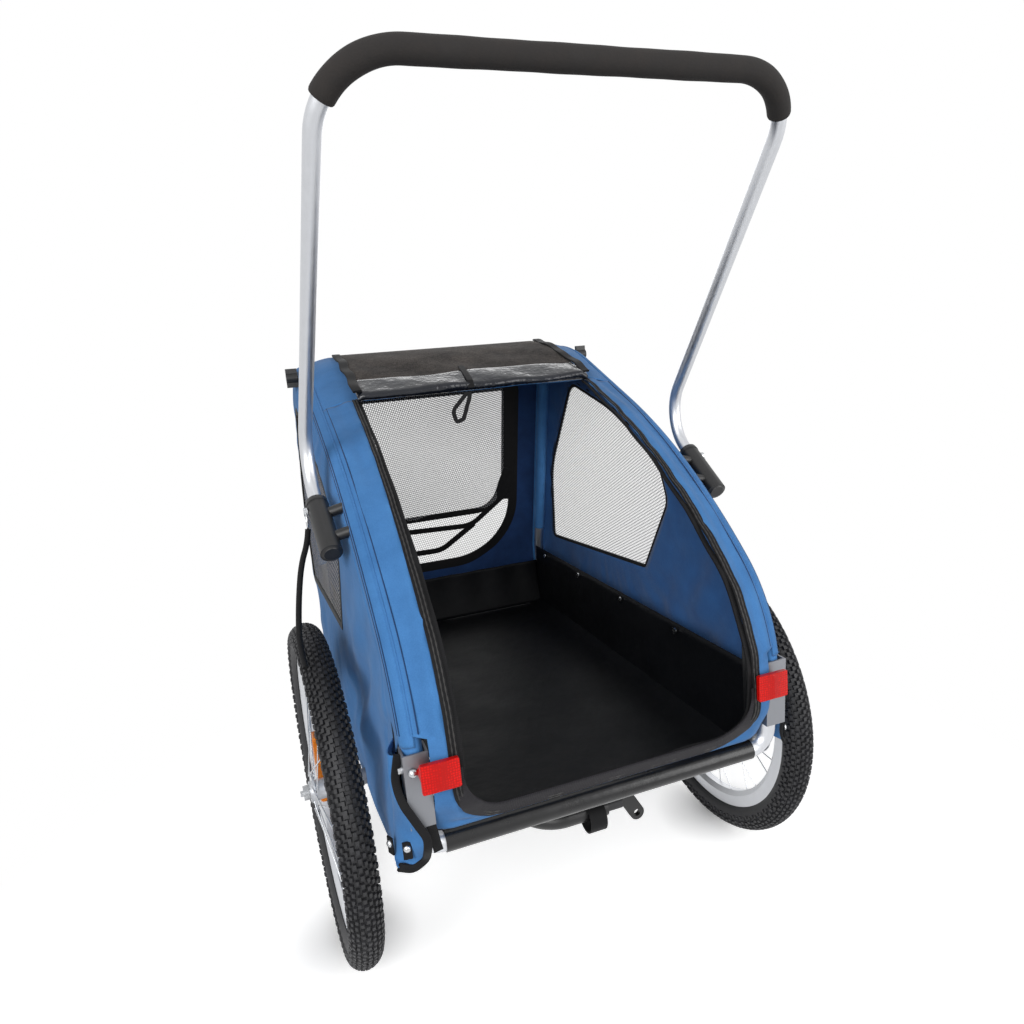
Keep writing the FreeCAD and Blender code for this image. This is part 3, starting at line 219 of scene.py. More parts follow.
def make_piece(name, grids, material, body="chassis", stands_for=(), thick=0.0, crease=40.0,
               recalc=False, blocks=None):
    """One mesh piece from grids of points: quads between neighbours, doubles merged, UV map in metres
    measured along each grid; thick adds a wall, blocks adds boxes of eight points each."""
    points, faces, coords = [], [], []
    base = 0
    for grid in grids:
        places = metres(grid)
        index = base + np.arange(places[..., 0].size).reshape(places.shape[:2])
        across = np.linalg.norm(np.diff(places, axis=1), axis=2).mean(axis=0)
        along = np.linalg.norm(np.diff(places, axis=0), axis=2).mean(axis=1)
        flat = joined(append(0.0, np.cumsum(across)), append(0.0, np.cumsum(along))[:, None])
        quads, corners = (np.stack([each[:-1, :-1], each[:-1, 1:], each[1:, 1:], each[1:, :-1]], axis=2)
                          for each in (index, flat))
        points.append(places.reshape(-1, 3))
        faces.append(quads.reshape(-1, 4))
        coords.append(corners.reshape(-1, 2))
        base += index.size
    if blocks is not None:
        first = base + 8 * np.arange(len(blocks) // 8)[:, None, None]
        points.append(metres(blocks))
        faces.append((first + BLOCK_FACES).reshape(-1, 4))
        coords.append(np.tile(FACE_MAP, (len(faces[-1]), 1)))
    mesh = bpy.data.meshes.new(name)
    mesh.from_pydata(concatenate(points), [], concatenate(faces))
    mesh.uv_layers.new(name="UVMap").uv.foreach_set("vector", concatenate(coords).ravel())
    work = bmesh.new()
    work.from_mesh(mesh)
    bmesh.ops.remove_doubles(work, verts=work.verts, dist=MERGE)
    bmesh.ops.dissolve_degenerate(work, edges=work.edges, dist=MERGE)
    if recalc:
        bmesh.ops.recalc_face_normals(work, faces=work.faces)
    work.to_mesh(mesh)
    work.free()
    mesh.polygons.foreach_set("use_smooth", np.ones(len(mesh.polygons), bool))
    mesh.set_sharp_from_angle(angle=radians(crease))
    mesh.materials.append(material)
    piece = put(name, mesh)
    if thick:
        wall = piece.modifiers.new("cloth", "SOLIDIFY")
        wall.thickness = thick / 1000.0
        wall.offset = 0.0
    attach(piece, body)
    if stands_for:
        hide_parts(*stands_for)
    return piece


# Helpers for finishes

WAVE_MM = 0.3142 * 1000.0  # a wave texture's period at scale 1, in millimetres of a map in metres
CELL_MM = 1000.0  # a noise or cell texture's cell at scale 1, likewise


def to_linear(code):
    """An sRGB hex colour as linear RGBA."""
    value = np.array([int(code[k:k + 2], 16) for k in (1, 3, 5)]) / 255.0
    linear = np.where(value <= 0.04045, value / 12.92, ((value + 0.055) / 1.055) ** 2.4)
    return (*linear.tolist(), 1.0)


def add(tree, kind, values=None, links=None, out=0, **settings):
    """Add one shader node and give back one of its outputs: settings are attributes, values fill sockets,
    links join sockets to outputs."""
    new = tree.nodes.new("ShaderNode" + kind)
    for key, value in settings.items():
        setattr(new, key, value)
    for socket, value in (values or {}).items():
        new.inputs[socket].default_value = value
    for socket, source in (links or {}).items():
        tree.links.new(source, new.inputs[socket])
    return new.outputs[out] if new.outputs else None


def finish(name, recipe, *looks):
    """A material with one Principled shader; its recipe gives plain values and links for the sockets."""
    material = bpy.data.materials.new(name)
    material.use_nodes = True
    material.node_tree.nodes.clear()
    node = partial(add, material.node_tree)
    values, links = recipe(node, node("TexCoord").node.outputs, *looks)
    node("OutputMaterial", links={"Surface": node("BsdfPrincipled", values, links)})
    return material


def canvas(node, at, face, shade, thread_mm=1.6):
    """Woven polyester canvas: matt, with a fine plain weave, a soft sheen, faint uneven tone and painted
    shade, as the noise that dents its crumples also darkens their hollows.
    The thread is drawn at 1.6 mm, about three times its real spacing, so that it shows."""
    warp, weft = (node("TexWave", {"Scale": WAVE_MM / thread_mm, "Distortion": 0.6},
                       {"Vector": at["UV"]}, "Fac", bands_direction=way) for way in "XY")
    weave = node("Math", None, {0: warp, 1: weft}, operation="MULTIPLY")
    cloud = node("TexNoise", {"Scale": CELL_MM / 45.45, "Detail": 5.0, "Roughness": 0.6},
                 {"Vector": at["Object"]})
    grain = node("TexNoise", {"Scale": CELL_MM / 1.4286, "Detail": 2.0}, {"Vector": at["Object"]})
    speck = node("Math", {1: 0.5}, {0: grain}, operation="MULTIPLY")
    tone = node("Math", None, {0: cloud, 1: speck}, operation="ADD")
    # Painted shade: the same noise that dents the crumples darkens their hollows, with a random speck on top.
    share = node("MapRange", {1: 0.45, 2: 1.05}, {0: tone})
    dye = node("Mix", {6: to_linear(shade), 7: to_linear(face)}, {0: share}, 2, data_type="RGBA")
    relief = node("Bump", {"Strength": 0.35, "Distance": 0.0004}, {"Height": weave})
    crumple = node("Bump", {"Strength": 0.3, "Distance": 0.004}, {"Height": cloud, "Normal": relief})
    return ({"Roughness": 0.82, "Sheen Weight": 0.1, "Sheen Roughness": 0.5, "Specular IOR Level": 0.25},
            {"Base Color": dye, "Normal": crumple})


def webbing(node, at, face, shade, rib_mm=2.4):
    """Woven tape, binding or braid: tight ribs across the run, dull with a slight thread shine.
    The rib is drawn at 2.4 mm or more so that it shows."""
    ribs = node("TexWave", {"Scale": WAVE_MM / rib_mm, "Distortion": 0.4}, {"Vector": at["UV"]}, "Fac",
                bands_direction="Y")
    fluff = node("TexNoise", {"Scale": CELL_MM / 3.846, "Detail": 3.0}, {"Vector": at["Object"]})
    mixed = node("Math", None, {0: ribs, 1: fluff}, operation="MULTIPLY")
    dye = node("Mix", {6: to_linear(shade), 7: to_linear(face)}, {0: mixed}, 2, data_type="RGBA")
    relief = node("Bump", {"Strength": 0.4, "Distance": 0.0005}, {"Height": mixed})
    return ({"Roughness": 0.7, "Sheen Weight": 0.03, "Specular IOR Level": 0.2},
            {"Base Color": dye, "Normal": relief})


def coated_cloth(node, at, face, shade, gloss, shine):
    """Coated nylon lining or vinyl sleeve: smooth dark face with soft creases and a broad shine.
    Its grain is drawn at 2.4 mm, some four times too coarse, so that it shows."""
    cloud = node("TexNoise", {"Scale": CELL_MM / 71.43, "Detail": 4.0}, {"Vector": at["Object"]})
    fine = node("TexNoise", {"Scale": CELL_MM / 2.381, "Detail": 2.0}, {"Vector": at["Object"]})
    dye = node("Mix", {6: to_linear(shade), 7: to_linear(face)}, {0: cloud}, 2, data_type="RGBA")
    rough = node("MapRange", {3: gloss - 0.08, 4: gloss + 0.12}, {0: cloud})
    grain = node("Bump", {"Strength": 0.2, "Distance": 0.0003}, {"Height": fine})
    crease = node("Bump", {"Strength": 0.4, "Distance": 0.006}, {"Height": cloud, "Normal": grain})
    return {"Specular IOR Level": shine}, {"Base Color": dye, "Roughness": rough, "Normal": crease}


def netting(node, at, thread, pitch_mm, cover):
    """Knitted window mesh: grey threads with open holes; a higher cover widens the threads.
    The pitch is drawn two to three times too large, so that the holes show."""
    slant = node("Mapping", {"Rotation": (0.0, 0.0, radians(24))}, {"Vector": at["UV"]})
    warp, weft = (node("TexWave", {"Scale": WAVE_MM / pitch_mm, "Distortion": 0.5, "Detail Scale": 0.4},
                       {"Vector": slant}, "Fac", bands_direction=way) for way in "XY")
    both = node("Math", None, {0: warp, 1: weft}, operation="MAXIMUM")
    cut = node("MapRange", {1: 0.9 - cover, 2: 1.1 - cover}, {0: both})
    return {"Roughness": 0.85, "Base Color": to_linear(thread)}, {"Alpha": cut}


def bare_metal(node, at, face, rough, mark_mm=2.778):
    """Drawn and anodised aluminium or plated steel: bright, with fine marks and uneven polish."""
    marks = node("TexNoise", {"Scale": CELL_MM / mark_mm, "Detail": 6.0, "Roughness": 0.7},
                 {"Vector": at["Object"]})
    dull = tuple(0.86 * value for value in to_linear(face)[:3]) + (1.0,)
    tone = node("Mix", {6: dull, 7: to_linear(face)}, {0: marks}, 2, data_type="RGBA")
    spread = node("MapRange", {3: rough - 0.07, 4: rough + 0.1}, {0: marks})
    relief = node("Bump", {"Strength": 0.08, "Distance": 0.0003}, {"Height": marks})
    return {"Metallic": 1.0}, {"Base Color": tone, "Roughness": spread, "Normal": relief}


def moulded(node, at, face, worn, rough, grain_mm=1.2, depth=0.0003):
    """Moulded plastic, rubber, paint or foam: even colour with a fine spark grain and rubbed patches.
    The grain is drawn at 1.2 mm or more so that it shows."""
    grain = node("TexNoise", {"Scale": CELL_MM / grain_mm, "Detail": 3.0}, {"Vector": at["Object"]})
    patch = node("TexNoise", {"Scale": CELL_MM / 33.33, "Detail": 5.0, "Roughness": 0.65},
                 {"Vector": at["Object"]})
    share = node("MapRange", {1: 0.45, 2: 0.75}, {0: patch})
    tone = node("Mix", {6: to_linear(face), 7: to_linear(worn)}, {0: share}, 2, data_type="RGBA")
    spread = node("MapRange", {3: rough - 0.08, 4: rough + 0.1}, {0: patch})
    relief = node("Bump", {"Strength": 0.35, "Distance": depth}, {"Height": grain})
    return {}, {"Base Color": tone, "Roughness": spread, "Normal": relief}


def prism_lens(node, at, face, deep, prism_mm=3.2):
    """Moulded acrylic reflector: glossy clear face over a grid of small prisms, whose uneven sparkle is
    painted into the colour, brighter at each prism's middle and deeper at its edges.
    The prism is drawn at 3.2 mm so that it shows."""
    cells = node("TexVoronoi", {"Scale": CELL_MM / prism_mm, "Randomness": 0.25},
                 {"Vector": at["Object"]}, "Distance")
    # Painted sparkle: a lighter colour at the middle of each prism cell, a deeper one at its edges.
    painted_sparkle = node("MapRange", {1: 0.05, 2: 0.55}, {0: cells})
    tone = node("Mix", {6: to_linear(face), 7: to_linear(deep)}, {0: painted_sparkle}, 2, data_type="RGBA")
    relief = node("Bump", {"Strength": 0.5, "Distance": 0.0008}, {"Height": cells})
    return ({"Roughness": 0.3, "Specular IOR Level": 0.25, "Coat Weight": 0.12, "Coat Roughness": 0.15},
            {"Base Color": tone, "Normal": relief})


def charcoal_mesh(node, at):
    """Charcoal screen mesh lying on cloth: brownish black threads, uneven, almost no shine.
    Its threads are drawn at 2.4 mm, about twice too coarse, so that they show."""
    cloud = node("TexNoise", {"Scale": CELL_MM / 62.5, "Detail": 6.0, "Roughness": 0.7},
                 {"Vector": at["Object"]})
    fine = node("TexNoise", {"Scale": CELL_MM / 2.381, "Detail": 2.0}, {"Vector": at["Object"]})
    both = node("Math", None, {0: cloud, 1: fine}, operation="MULTIPLY")
    share = node("MapRange", {1: 0.14, 2: 0.4}, {0: both})
    dye = node("Mix", {6: to_linear("#1c1a1a"), 7: to_linear("#57514d")}, {0: share}, 2, data_type="RGBA")
    relief = node("Bump", {"Strength": 0.5, "Distance": 0.006}, {"Height": cloud})
    return {"Roughness": 0.75, "Specular IOR Level": 0.15}, {"Base Color": dye, "Normal": relief}


def creased_film(node, at):
    """Clear vinyl over dark mesh: bluish black, wet shine broken up by sharp creases."""
    cloud = node("TexNoise", {"Scale": CELL_MM / 55.56, "Detail": 4.0, "Roughness": 0.6},
                 {"Vector": at["Object"]})
    dye = node("Mix", {6: to_linear("#0a0c12"), 7: to_linear("#1b202b")}, {0: cloud}, 2, data_type="RGBA")
    relief = node("Bump", {"Strength": 0.5, "Distance": 0.012}, {"Height": cloud})
    return {"Roughness": 0.2, "Specular IOR Level": 0.45}, {"Base Color": dye, "Normal": relief}


BLUE = finish("blue_polyester_canvas", canvas, "#4983bf", "#3a6fa8")
# Dark seam thread: the stitching, with the shade of its groove painted in.
BLUE_SEAM_SHADE = finish("seam_thread_and_painted_shade", canvas, "#20406b", "#173155")
# Darker inside of the front panel: painted shade of the roof over the cabin's front.
BLUE_BACK_PAINTED_SHADE = finish("canvas_back_painted_shade", canvas, "#1c3e70", "#122b52")
# Darker inside of the side walls: painted shade on the cabin side of the panels.
BLUE_INSIDE_PAINTED_SHADE = finish("canvas_inside_painted_shade", canvas, "#2f5f98", "#244d82")
BLACK_TAPE = finish("black_woven_tape", webbing, "#151517", "#08080a")
SILL_TAPE = finish("grey_brown_sill_tape", webbing, "#37353a", "#1d1c1f")
CORD_BRAID = finish("black_braided_cord", webbing, "#1c1c1e", "#09090a", 3.0)
LINING = finish("black_coated_nylon", coated_cloth, "#08090d", "#040507", 0.5, 0.18)
VINYL = finish("black_vinyl_sleeve", coated_cloth, "#141416", "#09090a", 0.26, 0.5)
SIDE_NET = finish("grey_window_mesh", netting, "#adadb0", 5.2, 0.17)
FRONT_NET = finish("grey_front_mesh", netting, "#8f8f91", 4.6, 0.1)
FLAP_MESH = finish("charcoal_flap_mesh", charcoal_mesh)
CLEAR_VINYL = finish("clear_vinyl_over_mesh", creased_film)
ALLOY = finish("anodised_aluminium_tube", bare_metal, "#d3d5d9", 0.38, 13.89)
PLATED = finish("zinc_plated_steel", bare_metal, "#c6c8cb", 0.24)
GREY_STEEL = finish("galvanised_channel", bare_metal, "#8d8f94", 0.5)
BLACK_PLASTIC = finish("black_moulded_nylon", moulded, "#121213", "#1c1c1e", 0.42)
BLACK_PAINT = finish("black_powder_coat", moulded, "#111112", "#1b1b1d", 0.36)
FOAM = finish("black_foam_rubber", moulded, "#1d1a19", "#2a2624", 0.9, 2.4, 0.0012)
RUBBER = finish("tyre_rubber", moulded, "#17171a", "#27272b", 0.6, 1.5, 0.0004)
ZIP_GREY = finish("grey_nylon_zip_coil", moulded, "#262525", "#343332", 0.6)
RED_LENS = finish("red_acrylic_lens", prism_lens, "#ea120c", "#b80904")
AMBER_LENS = finish("amber_acrylic_lens", prism_lens, "#f29a1e", "#c8690a")


# The cover's shape

LINE = resample(rounded(COVER_CORNERS, COVER_RADII, 40), 2400)
RUN = run_of(LINE)
SLOPE = np.gradient(LINE, RUN, axis=0)
INWARD = joined(SLOPE[:, 1], -SLOPE[:, 0])
TOP_INDEX = int(np.argmax(LINE[:, 1]))
CROWN_DEPTH = HOOP_INSET - HOOP_R - 2.0


def side_x(y, z):
    """Half spacing of the hoop planes."""
    return HOOP_X + TOE * y + LEAN * z


def on_line(s, depth=0.0):
    """The profile's y and z at run s, moved inwards by a depth."""
    return [interp(s, RUN, LINE[:, k]) + interp(s, RUN, INWARD[:, k]) * depth for k in (0, 1)]


def on_cover(x, s, depth=0.0):
    """A point of the cover: profile at run s, moved inwards by depth, at width x."""
    return joined(x, *on_line(s, depth))


def rear_run(z):
    """Run at which the rear of the profile reaches a height."""
    return interp(z, LINE[:TOP_INDEX, 1], RUN[:TOP_INDEX])


def front_run(z):
    """Run at which the front of the profile comes down to a height."""
    return interp(-np.asarray(z, float), -LINE[TOP_INDEX:, 1], RUN[TOP_INDEX:])


def crown_x(s):
    """Half width of the cover at the top of the hoops."""
    return side_x(*on_line(s, CROWN_DEPTH))


def sag(x, s, flat=215.0):
    """Depth of the cloth below the profile: none inside the flat width, down to the hoop's top outside."""
    share = clip((np.abs(x) - flat) / (crown_x(s) - flat), 0.0, 1.0)
    return CROWN_DEPTH * share ** 1.4


def pucker(s, share, room=1.0):
    """Gathers along a sewn edge that fade with the share of the way to the far edge, slow waves along
    the run, and long folds that follow it where the strip has room."""
    wave = sin(s / 5.3 + 1.3 * sin(s / 17.0)) + 0.6 * sin(s / 9.1 + 0.7)
    broad = sin(s / 38.0 + 0.4) + 0.7 * sin(s / 21.0 + 2.0)
    fold = sin(8.5 * share + 1.3 * sin(s / 130.0))
    loose = share * (1.0 - share) * smooth_step(share / 0.4) * room
    return 0.5 * wave * (1.0 - share) ** 2 + (3.6 * broad + 8.0 * fold) * loose


def rear_band():
    """Blue band round the loading opening: straight lines in (x, run) from the door's edge out to the
    hoops and the sill, lowered by the sag and the gathers."""
    top, notch, arc = rear_run(DOOR_TOP), rear_run(NOTCH_Z + 4.0), rear_run(DOOR_SILL + DOOR_R)
    upper = linspace(top, notch, 110)
    lower = linspace(notch, arc, 14)[1:]
    turn = linspace(0.0, pi / 2, 17)[1:]
    middle = linspace(DOOR_R - DOOR_HALF, 0.0, 26)[1:]
    door_x = concatenate([np.full(len(upper) + len(lower), -DOOR_HALF),
                          DOOR_R - DOOR_HALF - DOOR_R * cos(turn), middle])
    door_s = concatenate([upper, lower, rear_run(DOOR_SILL + DOOR_R * (1.0 - sin(turn))),
                          np.full(len(middle), rear_run(DOOR_SILL))])
    corner = linspace(0.0, 2.0, len(turn) + 1)[1:]
    out_x = concatenate([-crown_x(upper), np.full(len(lower), -NOTCH_X),
                         -NOTCH_X + (NOTCH_X + DOOR_R - DOOR_HALF) * clip(corner - 1.0, 0.0, 1.0),
                         middle])
    out_s = concatenate([upper, lower, arc * (1.0 - clip(corner, 0.0, 1.0)), np.zeros(len(middle))])
    share = linspace(0.0, 1.0, 20)
    x = door_x[:, None] + (out_x - door_x)[:, None] * share
    s = door_s[:, None] + (out_s - door_s)[:, None] * share
    walk = run_of(joined(door_x, door_s))[:, None]
    room = smooth_step((np.hypot(out_x - door_x, out_s - door_s) - 22.0) / 26.0)[:, None]
    left = on_cover(x, s, sag(x, s) - pucker(walk, share, room))
    right = on_cover(-x, s, sag(x, s) - pucker(walk + 400.0, share, room))
    piece = make_piece("rear_canvas_band", [left, right[::-1]], BLUE,
                       stands_for=("rear_surround",), thick=CANVAS_T)


FRONT_TOP = front_run(826.0)


def roof_sheet():
    """Blue roof from the top of the door over the crest to the top of the front window."""
    s = linspace(rear_run(DOOR_TOP), FRONT_TOP, 90)[:, None]
    share = linspace(-1.0, 1.0, 72)
    x = crown_x(s) * share
    along = (s - s[0]) / (s[-1] - s[0])
    dip = 2.5 * cos(pi / 2 * share) * sin(pi * along)
    grid = on_cover(x, s, sag(x, s) + dip - 0.5 * pucker(s, np.abs(share)))
    piece = make_piece("roof_canvas", [grid], BLUE, thick=CANVAS_T)


def polar_fill(inner, outer, centre, count, rows):
    """Rings between two loops that a centre can see: point = inner + v (outer - inner) along each ray."""
    turn = linspace(-pi, pi, count)

    def reach(loop):
        """Distance of a loop from the centre along every ray."""
        away = loop - centre
        angle = np.arctan2(away[:, 1], away[:, 0])
        order = np.argsort(angle)
        return interp(turn, angle[order], np.hypot(*away.T)[order], period=2 * pi)

    near, far = reach(inner), reach(outer)
    share = linspace(0.0, 1.0, rows)[:, None]
    radius = near + (far - near) * share
    return centre[0] + radius * cos(turn), centre[1] + radius * sin(turn), share


def whole_fill(loop, centre, rows):
    """Rings from a speck at the centre out to a loop."""
    return polar_fill(centre + (loop - centre) * 0.002, loop, centre, 200, rows)


def u_loop(half, bottom, radius):
    """A closed U outline of the front window in (x, run): straight top, rounded bottom corners."""
    top = FRONT_TOP + 12.0
    corners = ((-half, top), (half, top), (half, bottom), (-half, bottom))
    return closed_loop(corners, (14, 14, radius, radius), 400)


OPENING_BOTTOM = front_run(390.0)
OPENING_CENTRE = np.array((0.0, (FRONT_TOP + OPENING_BOTTOM) / 2))
OPENING_LOOP = u_loop(205.0, OPENING_BOTTOM, 150.0)


def front_sheet():
    """Blue front panel: rings from the window's U outline out to the hoops, the roof and the foot; the
    backing is the same sheet, kept off the hoops and the foot, in a darker blue that is painted shade of the
    roof over the cabin."""
    rim_s = linspace(FRONT_TOP, RUN[-1], 160)
    rim_x = crown_x(rim_s)
    across = linspace(-1.0, 1.0, 120)
    outer = concatenate([joined(rim_x, rim_s), joined(-across * rim_x[-1], RUN[-1]),
                         joined(-rim_x, rim_s)[::-1], joined(across * rim_x[0], FRONT_TOP)])
    x, s, share = polar_fill(OPENING_LOOP, outer, OPENING_CENTRE, 420, 16)
    folds = 1.6 * sin(x / 19.0) * smooth_step((s - OPENING_BOTTOM + 60.0) / 90.0)
    grid = on_cover(x, s, sag(x, s) - (0.8 * pucker(s + x, share) + folds * share) * (1 - share))
    piece = make_piece("front_canvas", [grid], BLUE, stands_for=("front_panel",),
                       thick=CANVAS_T)
    # The backing's darker blue is painted shade of the roof over the inside of the front panel.
    x = clip(x, 13.0 - crown_x(s), crown_x(s) - 13.0)
    s = np.minimum(s, RUN[-1] - 8.0)
    back = on_cover(x, s, sag(x, s) + 3.4 + sin(x / 19.0) * share)
    piece = make_piece("front_canvas_backing_painted_shade", [back], BLUE_BACK_PAINTED_SHADE, thick=BACKING_T)


# Side panels

WINDOW_LOOP = closed_loop(SIDE_WINDOW, SIDE_WINDOW_R, 500)
SIDE_CENTRE = np.array((270.0, 590.0))
SKIRT = ((626, 268), (430, 262), (110, 238), (-70, 236), (-165, 252), (-236, 268), (-238, 400))
SKIRT_R = (10, 200, 150, 120, 150, 10, 20)


def side_point(y, z, out):
    """A point off the right-hand hoop plane by a distance outwards."""
    return joined(side_x(y, z) + out, y, z)


def flare(y, z):
    """How far the skirt stands off the frame: growing downwards, less towards the front."""
    return 15.0 * smooth_step((440.0 - z) / 170.0) * (1.0 - 0.7 * smooth_step((y - 150.0) / 400.0))


def side_outline():
    """Outer edge of a side panel: along the hoop from the rear notch to the nose, then the skirt."""
    hoop = joined(*on_line(linspace(rear_run(NOTCH_Z), RUN[-1], 700), HOOP_INSET))
    return concatenate([hoop, resample(rounded([hoop[-1], *SKIRT, hoop[0]], SKIRT_R), 600)])


def side_sheets():
    """Blue side panels: a strip round the hoop (a circle about its axis), then rings from the window's
    edge out to the hoop and the skirt, with a sewn groove, slanting folds and the flare."""
    s = linspace(rear_run(NOTCH_Z - 10.0), RUN[-1] - 6.0, 320)[:, None]
    turn = linspace(radians(-8), pi / 2, 12)
    radius = HOOP_R + 2.2
    wrap = side_point(*on_line(s, HOOP_INSET - radius * cos(turn)), radius * sin(turn) + 0.4)
    y, z, share = polar_fill(WINDOW_LOOP, side_outline(), SIDE_CENTRE, 561, 65)
    angle = np.arctan2(z - SIDE_CENTRE[1], y - SIDE_CENTRE[0])
    pull = 0.8 * sin(angle * 23 + 2 * sin(angle * 5)) + 0.4 * sin(angle * 41 + 1.0)
    rear_low = smooth_step((230.0 - y) / 260.0) * smooth_step((620.0 - z) / 180.0)
    slant = sin((0.75 * y + z) / 26.0 + 2.2 + 0.6 * sin(z / 60.0))
    slant = slant + 0.5 * sin((1.1 * y + 0.6 * z) / 15.0)
    low = smooth_step((470.0 - z) / 120.0)
    hang = sin(y / 31.0 + z / 80.0) + 0.6 * sin(y / 17.0 - z / 60.0)
    groove = -1.6 * np.exp(-((share - 0.88) / 0.012) ** 2) * smooth_step((z - 300.0) / 60.0)
    bulge = 4.0 * share * (1.0 - share) * (2.2 + pull + 4.5 * rear_low * slant + 2.4 * low * hang)
    swell = WINDOW_SWELL * (1.0 - smooth_step(share))
    out = PANEL_OUT - 1.2 + swell + bulge + groove + flare(y, z)
    panel = side_point(y, z, out)
    # A darker sheet just inside each panel: painted shade on the cabin side of the walls.
    back = side_point(y, z, out - 2.6 - 0.8 * share)[::2, ::2]
    for name, side in (("right", np.asarray), ("left", mirror_x)):
        piece = make_piece(name + "_canvas_side", [side(wrap), side(panel)], BLUE,
                           stands_for=(name + "_side_panel",), thick=CANVAS_T)
        piece = make_piece(name + "_side_backing_painted_shade", [side(back)], BLUE_INSIDE_PAINTED_SHADE, thick=BACKING_T)


def hoop_sleeves():
    """Blue sleeves round the hoops on the cabin side, a cord of piping along each crown, and the lines of
    stitching beside it, each at its own turn about the hoop; the stitching is drawn dark, the thread's colour
    with the shade of its groove painted in."""
    s = linspace(rear_run(NOTCH_Z - 20.0), front_run(462.0), 300)
    wave = 1.0 + 0.012 * sin(s / 13.0) + 0.012 * sin(s / 29.0)
    axis = side_point(*on_line(s, HOOP_INSET), 0.0)
    sleeve = sweep(axis, oval(25.4, 25.4, 18), (1.0, 0.0, 0.0), scale=wave)
    s = linspace(rear_run(NOTCH_Z + 6.0), front_run(330.0), 300)
    piping = sweep(on_cover(crown_x(s), s, CROWN_DEPTH - 0.6), oval(4.0, 3.4, 10), (1.0, 0.0, 0.0))
    make_piece("hoop_sleeves", both_sides([sleeve, piping]), BLUE)
    seams = []
    radius = HOOP_R + 3.0
    for turn in np.radians((62.0, 86.0)):
        path = side_point(*on_line(s, HOOP_INSET - radius * cos(turn)), radius * sin(turn) + 0.5)
        seams.append(sweep(path, band(1.8, 1.0, 12), path - side_point(*on_line(s, HOOP_INSET), 0.0)))
    s = linspace(rear_run(NOTCH_Z + 6.0), rear_run(DOOR_TOP), 220)
    x = crown_x(s) - 7.0
    path = on_cover(x, s, sag(x, s) - 1.7)
    seams.append(sweep(path, band(1.6, 1.0, 12), on_cover(x, s, -20.0) - path))
    # Seam lines in dark thread: the stitching with its groove's shade painted in.
    make_piece("cover_seams", both_sides(seams), BLUE_SEAM_SHADE)


def flat_net(name, grid, axes, material, stands_for=()):
    """A mesh window whose weave map is laid flat in metres over the cloth, seen along one axis."""
    piece = make_piece(name, [grid], material, stands_for=stands_for)
    mesh = piece.data
    place = np.empty(len(mesh.vertices) * 3)
    mesh.vertices.foreach_get("co", place)
    corner = np.empty(len(mesh.loops), int)
    mesh.loops.foreach_get("vertex_index", corner)
    mesh.uv_layers[0].uv.foreach_set("vector", place.reshape(-1, 3)[corner][:, axes].ravel())
    return piece


def side_windows():
    """Mesh windows of the sides, rings from the middle to the edge, and the straps that bind them."""
    y, z, share = whole_fill(WINDOW_LOOP, SIDE_CENTRE, 24)
    net = side_point(y, z, PANEL_OUT - 2.4 + WINDOW_SWELL + 2.0 * (1 - share ** 2))
    path = side_point(*WINDOW_LOOP.T, PANEL_OUT - 1.6 + WINDOW_SWELL)
    trim = sweep(path, band(13.0, 4.4), (1.0, 0.0, 0.0), capped=False)
    for name, grid, stands_for in (("right", net, ("side_meshes",)), ("left", mirror_x(net), ())):
        piece = flat_net(name + "_window_net", grid, (1, 2), SIDE_NET, stands_for)
    make_piece("side_window_bindings", both_sides([trim]), BLACK_TAPE)


# Front window

def cover_strap(route, width, height, depth, steps=80):
    """A strap laid along (x, run) points of the cover, standing off it by a negative depth."""
    x, s = resample(route, steps).T
    path = on_cover(x, s, depth)
    return sweep(path, band(width, height), on_cover(x, s, depth - 1.0) - path)


def front_window():
    """Front mesh in two layers, its black frame, and the loose straps that cross its lower part."""
    x, s, share = whole_fill(OPENING_LOOP, OPENING_CENTRE, 24)
    piece = flat_net("front_net", on_cover(x, s, 2.5 + 3.0 * (1 - share ** 2)), (0, 2), FRONT_NET,
                     ("front_mesh",))
    bottom = front_run(522.0)
    centre = np.array((0.0, (FRONT_TOP + bottom) / 2))
    x, s, share = whole_fill(u_loop(178.0, bottom, 70.0), centre, 20)
    hang = 9.5 + 5.0 * (1 - share ** 2) + 1.2 * sin(x / 31.0) * sin(s / 27.0)
    piece = flat_net("front_inner_net", on_cover(x, s, hang), (0, 2), FRONT_NET)

    straps = [cover_strap(OPENING_LOOP, 23.0, 4.0, 2.6, 260)]
    for hand in (-1, 1):
        straps.append(cover_strap([(hand * 190.0, FRONT_TOP + 14.0), (hand * 190.0, front_run(600.0)),
                                   (hand * 184.0, front_run(540.0))], 32.0, 3.2, 5.0))
    loose = (((-182, 640), (-176, 522), (150, 522), (186, 620), 15.0, 9.0),
             ((-186, 600), (-150, 494), (96, 484), (194, 560), 13.0, 6.0),
             ((-180, 520), (-90, 432), (20, 430), (104, 487), 14.0, 4.8))
    for *corners, width, depth in loose:
        route = rounded([(x, front_run(z)) for x, z in corners], (60, 60))
        straps.append(cover_strap(route, width, 3.0, depth))
    make_piece("front_window_straps", straps, BLACK_TAPE)


# Doorway

def swept_door(inset, lift, low=0.0):
    """Path along the door's edge and its outward direction, moved into the doorway by inset and up by
    lift; low leaves out that share of each half, from its top."""
    arc = DOOR_SILL + DOOR_R
    half = DOOR_HALF - inset
    radius = DOOR_R - inset
    upper = linspace(rear_run(DOOR_TOP), rear_run(arc), 160)
    turn = linspace(0.0, pi / 2, 24)[1:]
    middle = linspace(radius - half, 0.0, 60)[1:]
    x = concatenate([np.full(len(upper), -half), -half + radius * (1 - cos(turn)), middle])
    s = concatenate([upper, rear_run(arc - radius * sin(turn)), np.full(len(middle), rear_run(arc - radius))])
    keep = slice(int(low * len(x)), None)
    x, s = x[keep], s[keep]
    x, s = resample(joined(append(x, -x[-2::-1]), append(s, s[-2::-1])), 700).T
    path = on_cover(x, s, -lift)
    return path, on_cover(x, s, -lift - 1.0) - path


